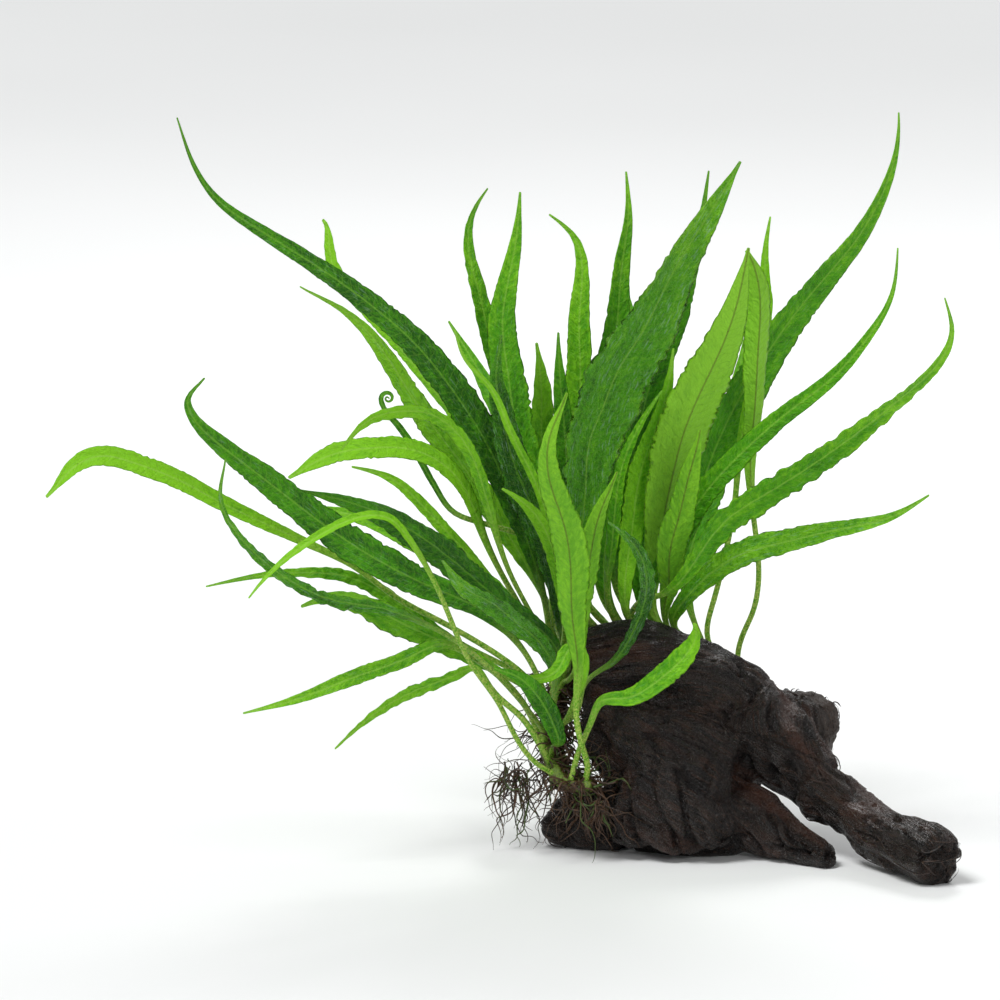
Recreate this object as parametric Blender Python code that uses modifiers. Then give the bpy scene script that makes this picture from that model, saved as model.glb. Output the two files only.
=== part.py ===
"""Java fern growing on a piece of driftwood.

Millimetres in every list and constant; the finished meshes are in metres, +Z up.
The wood rests on z = 0, and the fronds rise from a creeping rhizome that clings
to the wood's left end and back. -Y is the side the plant is usually seen from.
"""

import math
from collections import namedtuple

import bmesh
import bpy
import numpy as np
from mathutils import Matrix, Vector

MM = 0.001
ORIGIN = (38, 0, 0)  # middle of the trunk's flat underside, which becomes the world origin

# Fronds
PETIOLE_RADIUS = 1.05
BLADE_TOP = 0.45  # rise of the upper face over the blade's middle
BLADE_UNDER = 0.75  # depth of the midrib below it
TIP_HALF_WIDTH = 0.35
TWIST = 16.0  # degrees that a blade turns along its length, at most
END_BULGE = 0.6
RING_SPACING = 18.0
LEAST_RINGS = 8
MOST_RINGS = 16
BEND_WEIGHT = 25.0  # how much closer the rings come where a frond bends, per mm of radius
COURSE_STEPS = 400
CURVE_STEPS = 24  # places between two given points of a smooth curve
SAMPLES = 72
FROND_GAP = 0.6  # least clear space between two fronds, front to back
FREE_FROM = 0.06  # share of a frond near its foot that neighbours move less
SPREAD_ROUNDS = 300
SPREAD_STEP = 0.25  # part of what two fronds lack that each gives way in a round
CROZIER = "left_11"
CROZIER_RADIUS = 3.0
CROZIER_TURNS = 1.4
CROZIER_PITCH = 1.9
CROZIER_RINGS = 26
CROZIER_STEPS = 12  # places in one turn of the coil

# Rhizome
RHIZOME_RADIUS = 3.0
PETIOLE_CLEARANCE = 0.45
RHIZOME_END = 0.7  # share of its radius left at the ends

# Driftwood
WOOD_VOXEL = 2.4
WOOD_LUMP = 2.2
WOOD_DETAIL_SHARE = 0.12  # of the faces that the skin starts with
WOOD_SMOOTHING = 3
LUMP_WIDTH = 14.0
LUMP_LEVEL = 0.42
SAW_WIDTH = 0.3

Frond = namedtuple("Frond", "name place width turn fold blade points")

# The rhizome's course: low at the front left, up the left end, then along the back.
RHIZOME = (
    (1, -22, 31), (-9, -18, 31), (-16, -7, 38), (-17, 6, 49), (-15, 18, 60),
    (-5, 32, 67), (14, 38, 70), (34, 39, 69), (54, 39, 61),
)

# Each stem of the driftwood: places along its middle, with its radius there.
WOOD_STEMS = (
    # upper log, then the long limb that reaches forward and down to the right
    ((-2, 14, 75, 15), (18, 14, 77, 16.5), (42, 12, 71, 17), (62, 8, 60, 17), (78, 2, 46, 17),
     (92, -5, 32, 14), (108, -20, 20.5, 11), (127, -44, 13, 11.8), (139, -62, 12, 12.6),
     (146, -74, 9.5, 11.5)),
    # lower block in front of the log
    ((11, -5, 53, 14.5), (33, -7, 42, 19), (58, -7, 32, 20)),
    ((22, 0, 17, 17), (42, -3, 14, 21), (63, -4, 12, 18)),
    # back of the block, under the log
    ((14, 16, 52, 17), (40, 18, 40, 21), (70, 10, 26, 20)),
    # ridged lobes down its front
    ((26, -18, 48, 9), (22, -22, 28, 9), (17, -22, 6, 9)),
    ((36, -22, 44, 9), (36, -27, 24, 9), (32, -26, 6, 9)),
    ((48, -20, 42, 9), (50, -26, 24, 9), (52, -26, 6, 10)),
    # short limb
    ((64, -12, 15, 14), (83, -26, 9.3, 9.8), (93, -34, 6.5, 7.2), (102, -41, 3.5, 4.2)),
    # knob at the back
    ((74, 12, 46, 15), (90, 23, 47, 15.5), (99, 31, 46, 12)),
    # rim of the block's left end, beside the rhizome
    ((8, 3, 64, 10), (7, -2, 50, 9.5), (12, -4, 37, 9), (17, -4, 26, 9)),
    # foot under the rhizome
    ((-17, 5, 9, 8), (-6, 2, 10, 11.5), (14, -2, 12, 14)),
)

# A saw cut at each main fork: a point on it, the way across it and its half size.
WOOD_CUTS = (
    ((90, -14, 22), (16, -12, -7), 27),
    ((98, -24, 15), (13, 9, 11), 14),
    ((89, 24, 46), (15, 13, 0), 18),
    ((3, 2, 12), (1, 0, 0.1), 24),
)
LOG_CUT_POINT = (30, -6, 63)
LOG_CUT_NORMAL = (27, 36, 66)
LOG_CUT_HALF_SIZE = 90
FLOOR_PLACE = (60, 0, -50)
FLOOR_HALF_SIZE = 200
FLOOR_DEPTH = 100
WOOD_NAMES = {
    "driftwood_upper_log": (40, 14, 76),
    "driftwood_trunk": (40, 0, 30),
    "driftwood_long_limb": (126, -44, 14),
    "driftwood_short_limb": (99, -34, 6),
    "driftwood_back_knob": (97, 29, 46),
    "driftwood_foot": (-8, 4, 9),
}

# Coarse tangles of brown roots: places along the middle of each, with its radius.
ROOTS = {
    "roots_left": ((-31, -8, 5, 3), (-34, -3, 14, 5), (-31, 2, 26, 5), (-27, 6, 37, 3.5)),
    "roots_front": ((4, -26, 26, 1.6), (4, -28, 19, 2.2), (3, -26, 12, 1.6)),
}

# Fronds: place along the rhizome, blade width, turn of the blade away from facing
# forward in degrees, depth of its fold, where the blade starts, is widest and how full it
# is towards the tip, and the places its midrib passes on the way to the tip.
FRONDS = (
    Frond("left_01", 3.45, 16, 20, 0.2, (0.15, 0.4, 1.05), (
        (-19, 0, 107), (-43, -10, 175), (-74, -16, 220), (-93, -19, 237), (-114, -22, 253),
        (-126, -24, 261), (-141, -26, 271), (-153, -29, 280), (-164, -32, 296), (-171, -36, 317))),
    Frond("left_02", 5.35, 6, -30, 0.2, (0.15, 0.9, 4), (
        (-21, 24, 115), (-50, 36, 168), (-80, 48, 206), (-101, 58, 228), (-108, 61, 238),
        (-109, 63, 245), (-110, 64, 251), (-111, 66, 257), (-112, 66, 257))),
    Frond("left_03", 4.28, 13, -15, 0.2, (0.2, 0.5, 1.5), (
        (-19, 10, 105), (-38, 10, 139), (-57, 13, 167), (-67, 15, 180), (-76, 17, 193), (-83, 19, 204),
        (-89, 21, 213), (-96, 23, 220), (-103, 24, 226), (-112, 26, 230), (-121, 28, 235))),
    Frond("left_04", 2.76, 15, 15, 0.2, (0.18, 0.5, 2), (
        (-17, -9, 63), (-28, -16, 88), (-46, -23, 107), (-70, -31, 120), (-92, -37, 133),
        (-113, -44, 149), (-133, -50, 166), (-147, -55, 178), (-158, -58, 188), (-167, -62, 202),
        (-160, -66, 213))),
    Frond("left_05", 3.02, 16, -20, 0.2, (0.12, 0.55, 1.7), (
        (-13, -2, 86), (-40, -12, 111), (-60, -20, 130), (-80, -27, 145), (-100, -34, 155),
        (-120, -40, 161))),
    Frond("left_06", 3.12, 9, 25, 0.3, (0.35, 0.88, 2.5), (
        (-29, -1, 76), (-55, -4, 94), (-78, -8, 107), (-100, -12, 124), (-127, -16, 138),
        (-154, -20, 152), (-173, -24, 163), (-192, -28, 171), (-209, -31, 173), (-226, -36, 158))),
    Frond("left_07", 1.0, 4, 30, 0.45, (0.45, 0.75, 3), (
        (-26, -20, 44), (-37, -26, 66), (-49, -33, 85), (-62, -43, 116), (-71, -50, 136),
        (-87, -58, 154), (-114, -66, 146), (-135, -72, 130), (-141, -75, 123))),
    Frond("left_08", 3.85, 8, -20, 0.2, (0.3, 0.75, 2), (
        (-19, -1, 90), (-38, -8, 131), (-41, -11, 147), (-46, -15, 163), (-51, -18, 175),
        (-56, -21, 183), (-62, -23, 188), (-69, -26, 192), (-78, -30, 193), (-84, -32, 192),
        (-92, -35, 190), (-98, -37, 185), (-103, -40, 179))),
    Frond("left_09", 4.1, 10, 25, 0.2, (0.3, 0.82, 3.5), (
        (-21, 6, 88), (-42, 1, 128), (-50, -2, 150), (-57, -6, 162), (-63, -8, 167), (-71, -11, 172),
        (-81, -15, 174), (-92, -19, 175), (-102, -22, 174), (-111, -25, 172), (-119, -28, 168),
        (-125, -31, 165))),
    Frond("left_10", 3.95, 6, 10, 0.2, (0.2, 0.7, 1.8), (
        (-25, 12, 87), (-42, 11, 113), (-60, 10, 134), (-67, 9, 142), (-77, 9, 151), (-87, 8, 159),
        (-99, 7, 162))),
    Frond("left_11", 4.7, 3, 0, 0.2, (0.5, 0.8, 3), (
        (-14, 24, 85), (-18, 10, 126), (-35, 4, 136), (-55, 4, 142), (-61, 4, 148), (-68, 4, 161),
        (-77, 5, 175), (-87, 6, 190))),
    Frond("left_12", 2.0, 7, -25, 0.2, (0.3, 0.55, 1.5), (
        (-22, -14, 57), (-50, -22, 89), (-80, -34, 108), (-111, -45, 117), (-131, -53, 130),
        (-145, -60, 145), (-153, -66, 161), (-151, -72, 180))),
    Frond("left_13", 3.25, 7, 30, 0.2, (0.2, 0.5, 1.5), (
        (-29, 6, 73), (-60, 4, 90), (-84, 0, 107), (-92, -1, 113), (-102, -3, 117), (-113, -5, 119),
        (-129, -7, 119), (-144, -10, 118), (-160, -13, 115))),
    Frond("left_14", 2.9, 13, -10, 0.2, (0.2, 0.65, 2), (
        (-25, -2, 68), (-63, -8, 91), (-84, -14, 102), (-97, -18, 109), (-110, -22, 112),
        (-120, -25, 109))),
    Frond("left_15", 1.6, 8, 15, 0.35, (0.35, 0.6, 1.5), (
        (-29, -13, 66), (-49, -17, 85), (-60, -19, 91), (-70, -21, 88), (-81, -24, 85), (-96, -28, 80),
        (-113, -33, 74), (-128, -38, 70), (-144, -43, 67))),
    Frond("left_16", 1.35, 7, -20, 0.2, (0.35, 0.6, 1.5), (
        (-26, -12, 57), (-38, -13, 68), (-49, -15, 81), (-55, -17, 79), (-65, -19, 76), (-77, -22, 70),
        (-87, -26, 65), (-95, -28, 60), (-106, -33, 50))),
    Frond("centre_01", 0.1, 16, 165, 0.2, (0.25, 0.55, 1.6), (
        (0, -25, 41), (-5, -28, 54), (-5, -31, 70), (-5, -38, 93), (-8, -48, 116), (-8, -55, 137),
        (-10, -59, 148), (-13, -63, 158), (-16, -67, 168), (-18, -70, 179), (-17, -73, 189),
        (-13, -76, 199), (-10, -79, 209))),
    Frond("centre_02", 3.35, 12, 205, 0.2, (0.2, 0.6, 1.7), (
        (-5, -8, 80), (-3, -18, 104), (-1, -29, 125), (1, -34, 137), (3, -38, 148), (6, -42, 157),
        (9, -45, 164), (11, -48, 170))),
    Frond("centre_03", 3.55, 8, -10, 0.2, (0.3, 0.7, 2), (
        (-8, -6, 86), (-12, -16, 118), (-18, -26, 141), (-24, -32, 151), (-29, -37, 157),
        (-36, -42, 162))),
    Frond("centre_04", 2.4, 9, 35, 0.2, (0.25, 0.65, 1.8), (
        (-5, -14, 61), (-3, -13, 71), (4, -14, 77), (11, -17, 85), (17, -18, 94), (23, -27, 114),
        (24, -32, 125), (21, -36, 133), (14, -42, 143), (8, -48, 149))),
    Frond("centre_05", 0.5, 11, -20, 0.2, (0.25, 0.8, 2.5), (
        (-1, -28, 54), (5, -30, 69), (15, -32, 71), (25, -34, 76), (32, -36, 83), (39, -38, 89),
        (42, -40, 94), (45, -42, 101), (44, -44, 105))),
    Frond("centre_06", 2.2, 7, 20, 0.2, (0.25, 0.65, 1.8), (
        (-8, -20, 62), (-3, -23, 84), (-7, -28, 91), (-12, -35, 84), (-18, -39, 79), (-26, -43, 79),
        (-34, -47, 81))),
    Frond("centre_07", 1.5, 10, 10, 0.2, (0.1, 0.55, 2), (
        (-13, -24, 52), (-21, -24, 71), (-29, -27, 80), (-39, -34, 84))),
    Frond("centre_08", 2.57, 14, -30, 0.2, (0.2, 0.6, 1.8), (
        (-14, -12, 75), (-18, -18, 89), (-24, -24, 96), (-32, -33, 105), (-41, -42, 114),
        (-53, -52, 123), (-61, -60, 135))),
    Frond("centre_09", 5.5, 9, 20, 0.2, (0.2, 0.65, 1.8), (
        (-6, 20, 103), (-21, 26, 153), (-42, 34, 212), (-45, 36, 226), (-50, 40, 245), (-51, 43, 255),
        (-48, 47, 266), (-43, 50, 273))),
    Frond("centre_10", 4.5, 17, -10, 0.2, (0.15, 0.55, 1.5), (
        (-8, 6, 105), (-10, 6, 122), (-18, 6, 144), (-24, 6, 159), (-29, 6, 173), (-32, 6, 188),
        (-34, 6, 202), (-36, 6, 217), (-36, 6, 232), (-34, 6, 241), (-32, 6, 253), (-30, 6, 263),
        (-29, 4, 279))),
    Frond("centre_11", 3.75, 16, 15, 0.2, (0.15, 0.55, 1.6), (
        (-11, -5, 90), (-16, -14, 126), (-24, -18, 149), (-29, -21, 162), (-33, -23, 174),
        (-36, -25, 185), (-37, -26, 194), (-39, -29, 205), (-38, -31, 215), (-37, -33, 225))),
    Frond("centre_12", 5.9, 13, -20, 0.2, (0.2, 0.6, 1.5), (
        (-1, 26, 101), (-4, 31, 143), (-4, 36, 183), (-3, 40, 208), (-4, 43, 224), (-3, 46, 246),
        (-8, 48, 256), (-16, 50, 262))),
    Frond("centre_13", 6.3, 15, 20, 0.2, (0.15, 0.55, 1.3), (
        (6, 38, 99), (5, 44, 149), (8, 48, 193), (11, 50, 206), (14, 55, 239), (16, 57, 252),
        (17, 59, 265), (16, 62, 278))),
    Frond("centre_14", 5.1, 13, 30, 0.2, (0.25, 0.75, 2), (
        (-10, 24, 89), (-13, 18, 129), (-17, 16, 157), (-20, 16, 171), (-21, 16, 181), (-20, 17, 191),
        (-20, 18, 200), (-22, 20, 212))),
    Frond("centre_15", 4.2, 13, -25, 0.2, (0.22, 0.5, 1.8), (
        (-4, 1, 98), (-7, -5, 146), (-9, -6, 161), (-10, -8, 176), (-11, -10, 191), (-12, -12, 201),
        (-13, -14, 212), (-13, -16, 223))),
    Frond("centre_16", 3.15, 4, 10, 0.2, (0.2, 0.6, 2), (
        (-10, -10, 100), (-21, -24, 158), (-30, -30, 177), (-38, -35, 197), (-45, -40, 210),
        (-53, -45, 219), (-56, -50, 230))),
    Frond("right_01", 6.9, 14, 20, 0.2, (0.15, 0.55, 1.5), (
        (13, 36, 100), (17, 30, 152), (28, 25, 201), (34, 23, 215), (42, 20, 243), (46, 18, 261),
        (48, 17, 271), (50, 16, 286))),
    Frond("right_02", 4.4, 31, 25, 0.3, (0.18, 0.58, 1.4), (
        (-9, 8, 84), (-5, 0, 124), (-2, -6, 152), (-1, -9, 167), (1, -11, 182), (5, -12, 191),
        (10, -14, 202), (14, -16, 213), (24, -19, 228), (33, -22, 248), (44, -26, 267), (55, -30, 285),
        (62, -32, 298))),
    Frond("right_03", 6.5, 12, 15, 0.2, (0.15, 0.5, 1.7), (
        (16, 28, 96), (18, 14, 129), (20, 8, 148), (22, 4, 159), (26, 1, 171), (28, -1, 182),
        (32, -4, 193), (34, -7, 204), (35, -9, 215))),
    Frond("right_04", 6.1, 7, -30, 0.2, (0.2, 0.6, 1.6), (
        (9, 28, 97), (10, 10, 130), (12, 2, 153), (14, -1, 164), (18, -3, 173), (21, -5, 182),
        (26, -7, 191), (30, -9, 197))),
    Frond("right_05", 7.3, 24, 190, 0.2, (0.12, 0.6, 1.6), (
        (27, 30, 96), (30, 16, 125), (33, 4, 149), (37, -2, 167), (41, -7, 184), (46, -9, 196),
        (52, -12, 210), (58, -16, 224), (62, -19, 239), (66, -23, 260))),
    Frond("right_06", 7.1, 14, 165, 0.2, (0.15, 0.6, 2), (
        (33, 36, 90), (34, 14, 112), (34, 4, 125), (35, -5, 137), (39, -12, 148), (42, -22, 165),
        (45, -28, 176), (46, -33, 185))),
    Frond("right_07", 8.0, 12, 195, 0.55, (0.4, 0.85, 3), (
        (61, 40, 65), (64, 40, 75), (71, 34, 100), (72, 28, 117), (68, 18, 154), (70, 8, 195),
        (71, 1, 227), (70, -3, 247), (66, -5, 256))),
    Frond("right_08", 7.9, 6, -15, 0.2, (0.3, 0.78, 1.8), (
        (51, 42, 81), (61, 38, 133), (65, 34, 173), (68, 32, 186), (71, 29, 204), (74, 26, 221),
        (75, 24, 232), (74, 21, 252), (76, 19, 266))),
    Frond("right_09", 7.5, 19, 20, 0.2, (0.12, 0.48, 1.2), (
        (34, 40, 94), (46, 40, 142), (61, 40, 180), (88, 44, 222), (114, 50, 253), (127, 54, 278),
        (131, 57, 296), (131, 58, 304))),
    Frond("right_10", 6.7, 11, -10, 0.2, (0.1, 0.4, 1.3), (
        (22, 30, 93), (35, 12, 127), (48, 3, 152), (75, -8, 182), (102, -16, 205), (122, -23, 232),
        (127, -26, 246), (128, -29, 261))),
    Frond("right_11", 6.2, 14, 20, 0.2, (0.2, 0.45, 1.6), (
        (18, 33, 94), (38, 6, 115), (56, -8, 142), (89, -22, 166), (126, -38, 197), (147, -47, 220),
        (150, -50, 232), (147, -52, 244))),
    Frond("right_12", 7.7, 12, -25, 0.35, (0.12, 0.48, 1.5), (
        (36, 30, 91), (42, 18, 105), (59, 3, 123), (76, -6, 131), (89, -12, 135), (109, -21, 142),
        (129, -30, 149), (141, -36, 158))),
    Frond("middle_01", 7.0, 13, -20, 0.2, (0.15, 0.55, 1.8), (
        (23, 34, 100), (24, 31, 118), (24, 28, 133), (25, 26, 146), (27, 25, 157), (31, 24, 168),
        (34, 23, 179))),
    Frond("middle_02", 6.0, 12, 15, 0.2, (0.15, 0.55, 1.7), (
        (7, 26, 106), (10, 22, 145), (14, 20, 180), (18, 18, 210))),
    Frond("back_01", 7.6, 13, -15, 0.2, (0.15, 0.5, 1.5), (
        (42, 56, 104), (55, 78, 147), (63, 98, 177), (68, 112, 200))),
    Frond("back_02", 6.6, 14, 20, 0.2, (0.15, 0.5, 1.5), (
        (21, 56, 113), (25, 78, 160), (21, 98, 199), (16, 112, 222))),
    Frond("back_03", 5.7, 14, -20, 0.2, (0.15, 0.5, 1.5), (
        (-10, 48, 110), (-29, 72, 157), (-46, 92, 187), (-59, 106, 206))),
    Frond("back_04", 5.0, 13, 15, 0.2, (0.15, 0.5, 1.5), (
        (-25, 36, 91), (-59, 56, 113), (-92, 74, 126), (-122, 88, 130))),
)

COLOURS = {
    "wood": (0.035, 0.022, 0.016),
    "knob": (0.12, 0.09, 0.075),
    "leaf": (0.10, 0.36, 0.03),
    "rhizome": (0.22, 0.30, 0.05),
    "roots": (0.10, 0.05, 0.02),
}


def clear_scene():
    for item in list(bpy.data.objects):
        bpy.data.objects.remove(item, do_unlink=True)


def new_collection(name, shown):
    collection = bpy.data.collections.new(name)
    bpy.context.scene.collection.children.link(collection)
    collection.hide_render = not shown
    return collection


def material(name, colour, roughness):
    made = bpy.data.materials.new(name)
    made.use_nodes = True
    shader = made.node_tree.nodes["Principled BSDF"]
    shader.inputs["Base Color"].default_value = (*colour, 1)
    shader.inputs["Roughness"].default_value = roughness
    shader.inputs["Metallic"].default_value = 0
    return made


def add_object(name, mesh, collection, finish=None):
    made = bpy.data.objects.new(name, mesh)
    collection.objects.link(made)
    made.parent = bpy.data.objects.get("plant_frame")
    if finish:
        mesh.materials.clear()
        mesh.materials.append(finish)
    return made


def smooth_course(points, count):
    """Points at equal steps along a smooth curve through the given ones."""
    points = np.array(points, float)
    ends = np.vstack([2 * points[0] - points[1], points, 2 * points[-1] - points[-2]])
    fine = []
    for a, b, c, d in zip(ends, ends[1:], ends[2:], ends[3:]):
        ta = math.sqrt(np.linalg.norm(b[:3] - a[:3]))
        tb = math.sqrt(np.linalg.norm(c[:3] - b[:3]))
        tc = math.sqrt(np.linalg.norm(d[:3] - c[:3]))
        leave = ((b - a) / ta - (c - a) / (ta + tb) + (c - b) / tb) * tb
        arrive = ((c - b) / tb - (d - b) / (tb + tc) + (d - c) / tc) * tb
        for u in np.linspace(0, 1, CURVE_STEPS, endpoint=False):
            fine.append(
                (2 * u**3 - 3 * u**2 + 1) * b
                + (u**3 - 2 * u**2 + u) * leave
                + (3 * u**2 - 2 * u**3) * c
                + (u**3 - u**2) * arrive
            )
    fine.append(points[-1])
    fine = np.array(fine)
    steps = np.linalg.norm(np.diff(fine[:, :3], axis=0), axis=1)
    along = np.concatenate([[0], np.cumsum(steps)])
    wanted = np.linspace(0, along[-1], count)
    return np.stack([np.interp(wanted, along, column) for column in fine.T], axis=1)


def tube(name, points, collection, finish, corners=1, resolution=3):
    """A round solid along a smooth curve, each point holding its place and its radius."""
    curve = bpy.data.curves.new(name, "CURVE")
    curve.dimensions = "3D"
    curve.bevel_depth = MM
    curve.bevel_resolution = corners
    curve.use_fill_caps = True
    course = smooth_course(points, resolution * (len(points) - 1) + 1)
    spline = curve.splines.new("POLY")
    spline.points.add(len(course) - 1)
    for point, (x, y, z, radius) in zip(spline.points, course):
        point.co = (x * MM, y * MM, z * MM, 1)
        point.radius = radius
    guide = bpy.data.objects.new(name + "_guide", curve)
    collection.objects.link(guide)
    made = as_mesh(guide, name, collection, finish)
    bpy.data.objects.remove(guide, do_unlink=True)
    return made


def as_mesh(source, name, collection, finish=None):
    """A new object that holds the evaluated mesh of another, with its caps welded."""
    bpy.context.view_layer.update()
    graph = bpy.context.evaluated_depsgraph_get()
    mesh = bpy.data.meshes.new_from_object(source.evaluated_get(graph))
    work = bmesh.new()
    work.from_mesh(mesh)
    bmesh.ops.remove_doubles(work, verts=work.verts, dist=0.01 * MM)
    bmesh.ops.recalc_face_normals(work, faces=work.faces)
    work.to_mesh(mesh)
    work.free()
    return add_object(name, mesh, collection, finish)


def joined(objects, name, collection):
    """One object with the meshes of several, which it removes."""
    work = bmesh.new()
    for item in objects:
        work.from_mesh(item.data)
        bpy.data.objects.remove(item, do_unlink=True)
    mesh = bpy.data.meshes.new(name)
    work.to_mesh(mesh)
    work.free()
    return add_object(name, mesh, collection)


def box_cutter(name, place, across, half_size, thickness, cutters):
    """A flat box centred on a place, with its thin side along `across`."""
    work = bmesh.new()
    bmesh.ops.create_cube(work, size=1)
    turn = Vector(across).to_track_quat("Z", "Y").to_matrix().to_4x4()
    scale = Matrix.Diagonal((2 * half_size, 2 * half_size, thickness, 1))
    bmesh.ops.transform(work, matrix=turn @ scale, verts=work.verts)
    bmesh.ops.scale(work, vec=(MM, MM, MM), verts=work.verts)
    bmesh.ops.translate(work, vec=Vector(place) * MM, verts=work.verts)
    mesh = bpy.data.meshes.new(name)
    work.to_mesh(mesh)
    work.free()
    made = add_object(name, mesh, cutters)
    made.hide_render = True
    made.display_type = "WIRE"
    return made


def subtract(target, cutter):
    cut = target.modifiers.new(cutter.name, "BOOLEAN")
    cut.operation = "DIFFERENCE"
    cut.object = cutter


def driftwood_skin(cutters):
    """All the stems under one lumpy skin, cut flat where the wood rests."""
    stems = [
        tube(f"stem_{i}", points, cutters, None, corners=3)
        for i, points in enumerate(WOOD_STEMS)
    ]
    body = joined(stems, "driftwood_body", cutters)
    skin = body.modifiers.new("skin", "REMESH")
    skin.mode = "VOXEL"
    skin.voxel_size = WOOD_VOXEL * MM
    soften = body.modifiers.new("soften", "SMOOTH")
    soften.factor = 0.5
    soften.iterations = WOOD_SMOOTHING
    lumps = bpy.data.textures.new("wood_lumps", "CLOUDS")
    lumps.noise_scale = LUMP_WIDTH * MM
    lumps.noise_depth = 1
    uneven = body.modifiers.new("uneven", "DISPLACE")
    uneven.texture = lumps
    uneven.texture_coords = "LOCAL"
    uneven.strength = 2 * WOOD_LUMP * MM
    uneven.mid_level = LUMP_LEVEL
    fewer = body.modifiers.new("fewer", "DECIMATE")
    fewer.ratio = WOOD_DETAIL_SHARE
    skinned = as_mesh(body, "driftwood_whole", cutters)
    bpy.data.objects.remove(body, do_unlink=True)
    return skinned


def build_driftwood(parts, cutters, finishes):
    whole = driftwood_skin(cutters)
    up = (0, 0, 1)
    floor = box_cutter("cut_floor", FLOOR_PLACE, up, FLOOR_HALF_SIZE, FLOOR_DEPTH, cutters)
    subtract(whole, floor)
    for i, (place, across, half_size) in enumerate(WOOD_CUTS):
        subtract(whole, box_cutter(f"cut_{i}", place, across, half_size, SAW_WIDTH, cutters))
    log_cut = box_cutter(
        "cut_log", LOG_CUT_POINT, LOG_CUT_NORMAL, LOG_CUT_HALF_SIZE, SAW_WIDTH, cutters
    )
    subtract(whole, log_cut)
    cut = as_mesh(whole, "driftwood_cut", cutters)
    separate_wood(cut, parts, finishes)
    for item in (whole, cut):
        item.hide_render = True
        item.display_type = "WIRE"


def separate_wood(cut, parts, finishes):
    """Makes each loose body of the cut wood the piece whose named place is in it."""
    work = bmesh.new()
    work.from_mesh(cut.data)
    left = set(work.verts)
    bodies = []
    while left:
        start = left.pop()
        found = {start}
        edge = [start]
        while edge:
            vert = edge.pop()
            for link in vert.link_edges:
                other = link.other_vert(vert)
                if other not in found:
                    found.add(other)
                    edge.append(other)
        left -= found
        bodies.append(found)
    for name, place in WOOD_NAMES.items():
        middle = Vector(place) * MM
        body = min(bodies, key=lambda b: min((v.co - middle).length for v in b))
        piece = bmesh.new()
        copies = {v: piece.verts.new(v.co) for v in body}
        for face in work.faces:
            if face.verts[0] in body:
                piece.faces.new([copies[v] for v in face.verts])
        bmesh.ops.triangulate(piece, faces=piece.faces)
        mesh = bpy.data.meshes.new(name)
        piece.to_mesh(mesh)
        piece.free()
        finish = finishes["knob"] if name.endswith("knob") else finishes["wood"]
        add_object(name, mesh, parts, finish)
    work.free()


def blade_profile(frond, share):
    """(half width, how far the section has turned from round stem to flat blade)."""
    start, widest, fullness = frond.blade
    rise = min(max((share - start) / (widest - start), 0), 1)
    rise = rise * rise * (3 - 2 * rise)
    fall = min(max((share - widest) / (1 - widest), 0), 1)
    half = PETIOLE_RADIUS + (frond.width / 2 - PETIOLE_RADIUS) * rise
    return max(half * (1 - fall**fullness), TIP_HALF_WIDTH), min(1, 3 * rise)


def frond_course(frond, rhizome):
    """The midrib from the rhizome's surface to the tip."""
    spot = int(round(frond.place * (len(rhizome) - 1) / (len(RHIZOME) - 1)))
    middle = rhizome[spot]
    ahead = rhizome[min(spot + 1, len(rhizome) - 1)]
    behind = rhizome[max(spot - 1, 0)]
    along = (ahead - behind) / np.linalg.norm(ahead - behind)
    out = np.array(frond.points[0], float) - middle
    out -= along * out.dot(along)
    out /= np.linalg.norm(out)
    foot = middle + out * (RHIZOME_RADIUS + PETIOLE_CLEARANCE + 0.5)
    return smooth_course([foot, foot + 3 * out, *frond.points], SAMPLES)


def spread_fronds(courses):
    """Moves fronds apart, front to back only, wherever two would share one place."""
    shares = np.linspace(0, 1, SAMPLES)
    half = np.array([[blade_profile(f, s)[0] for s in shares] for f in FRONDS])
    turn = np.radians([f.turn for f in FRONDS])[:, None]
    reach = half * np.abs(np.cos(turn)) + PETIOLE_RADIUS
    depth = half * np.abs(np.sin(turn)) + PETIOLE_RADIUS + FROND_GAP / 2
    place = np.array(courses)
    owner = np.repeat(np.arange(len(FRONDS)), SAMPLES)
    flat = place.reshape(-1, 3)
    gap = np.hypot(
        flat[:, None, 0] - flat[None, :, 0], flat[:, None, 2] - flat[None, :, 2]
    )
    near = gap < reach.reshape(-1)[:, None] + reach.reshape(-1)[None, :]
    one, two = np.nonzero(near & (owner[:, None] < owner[None, :]))
    need = depth.reshape(-1)[one] + depth.reshape(-1)[two]
    pair = owner[one] * len(FRONDS) + owner[two]
    lead = np.bincount(pair, weights=flat[one, 1] - flat[two, 1])[pair]
    side = np.where(lead > 0, 1.0, -1.0)
    free = np.clip(shares / FREE_FROM, 0, 1)
    start = place[:, :, 1].copy()
    shift = np.zeros_like(start)
    for _ in range(SPREAD_ROUNDS):
        y = (start + shift).reshape(-1)
        short = np.maximum(need - side * (y[one] - y[two]), 0) * side * SPREAD_STEP
        push = np.zeros_like(y)
        np.maximum.at(push, one, np.maximum(short, 0))
        np.maximum.at(push, two, np.maximum(-short, 0))
        pull = np.zeros_like(y)
        np.minimum.at(pull, one, np.minimum(short, 0))
        np.minimum.at(pull, two, np.minimum(-short, 0))
        shift += (push + pull).reshape(shift.shape) * free
        shift[:, 1:-1] = 0.5 * shift[:, 1:-1] + 0.25 * (shift[:, :-2] + shift[:, 2:])
        shift[:, 0] = 0
    place[:, :, 1] += shift
    return place


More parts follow.
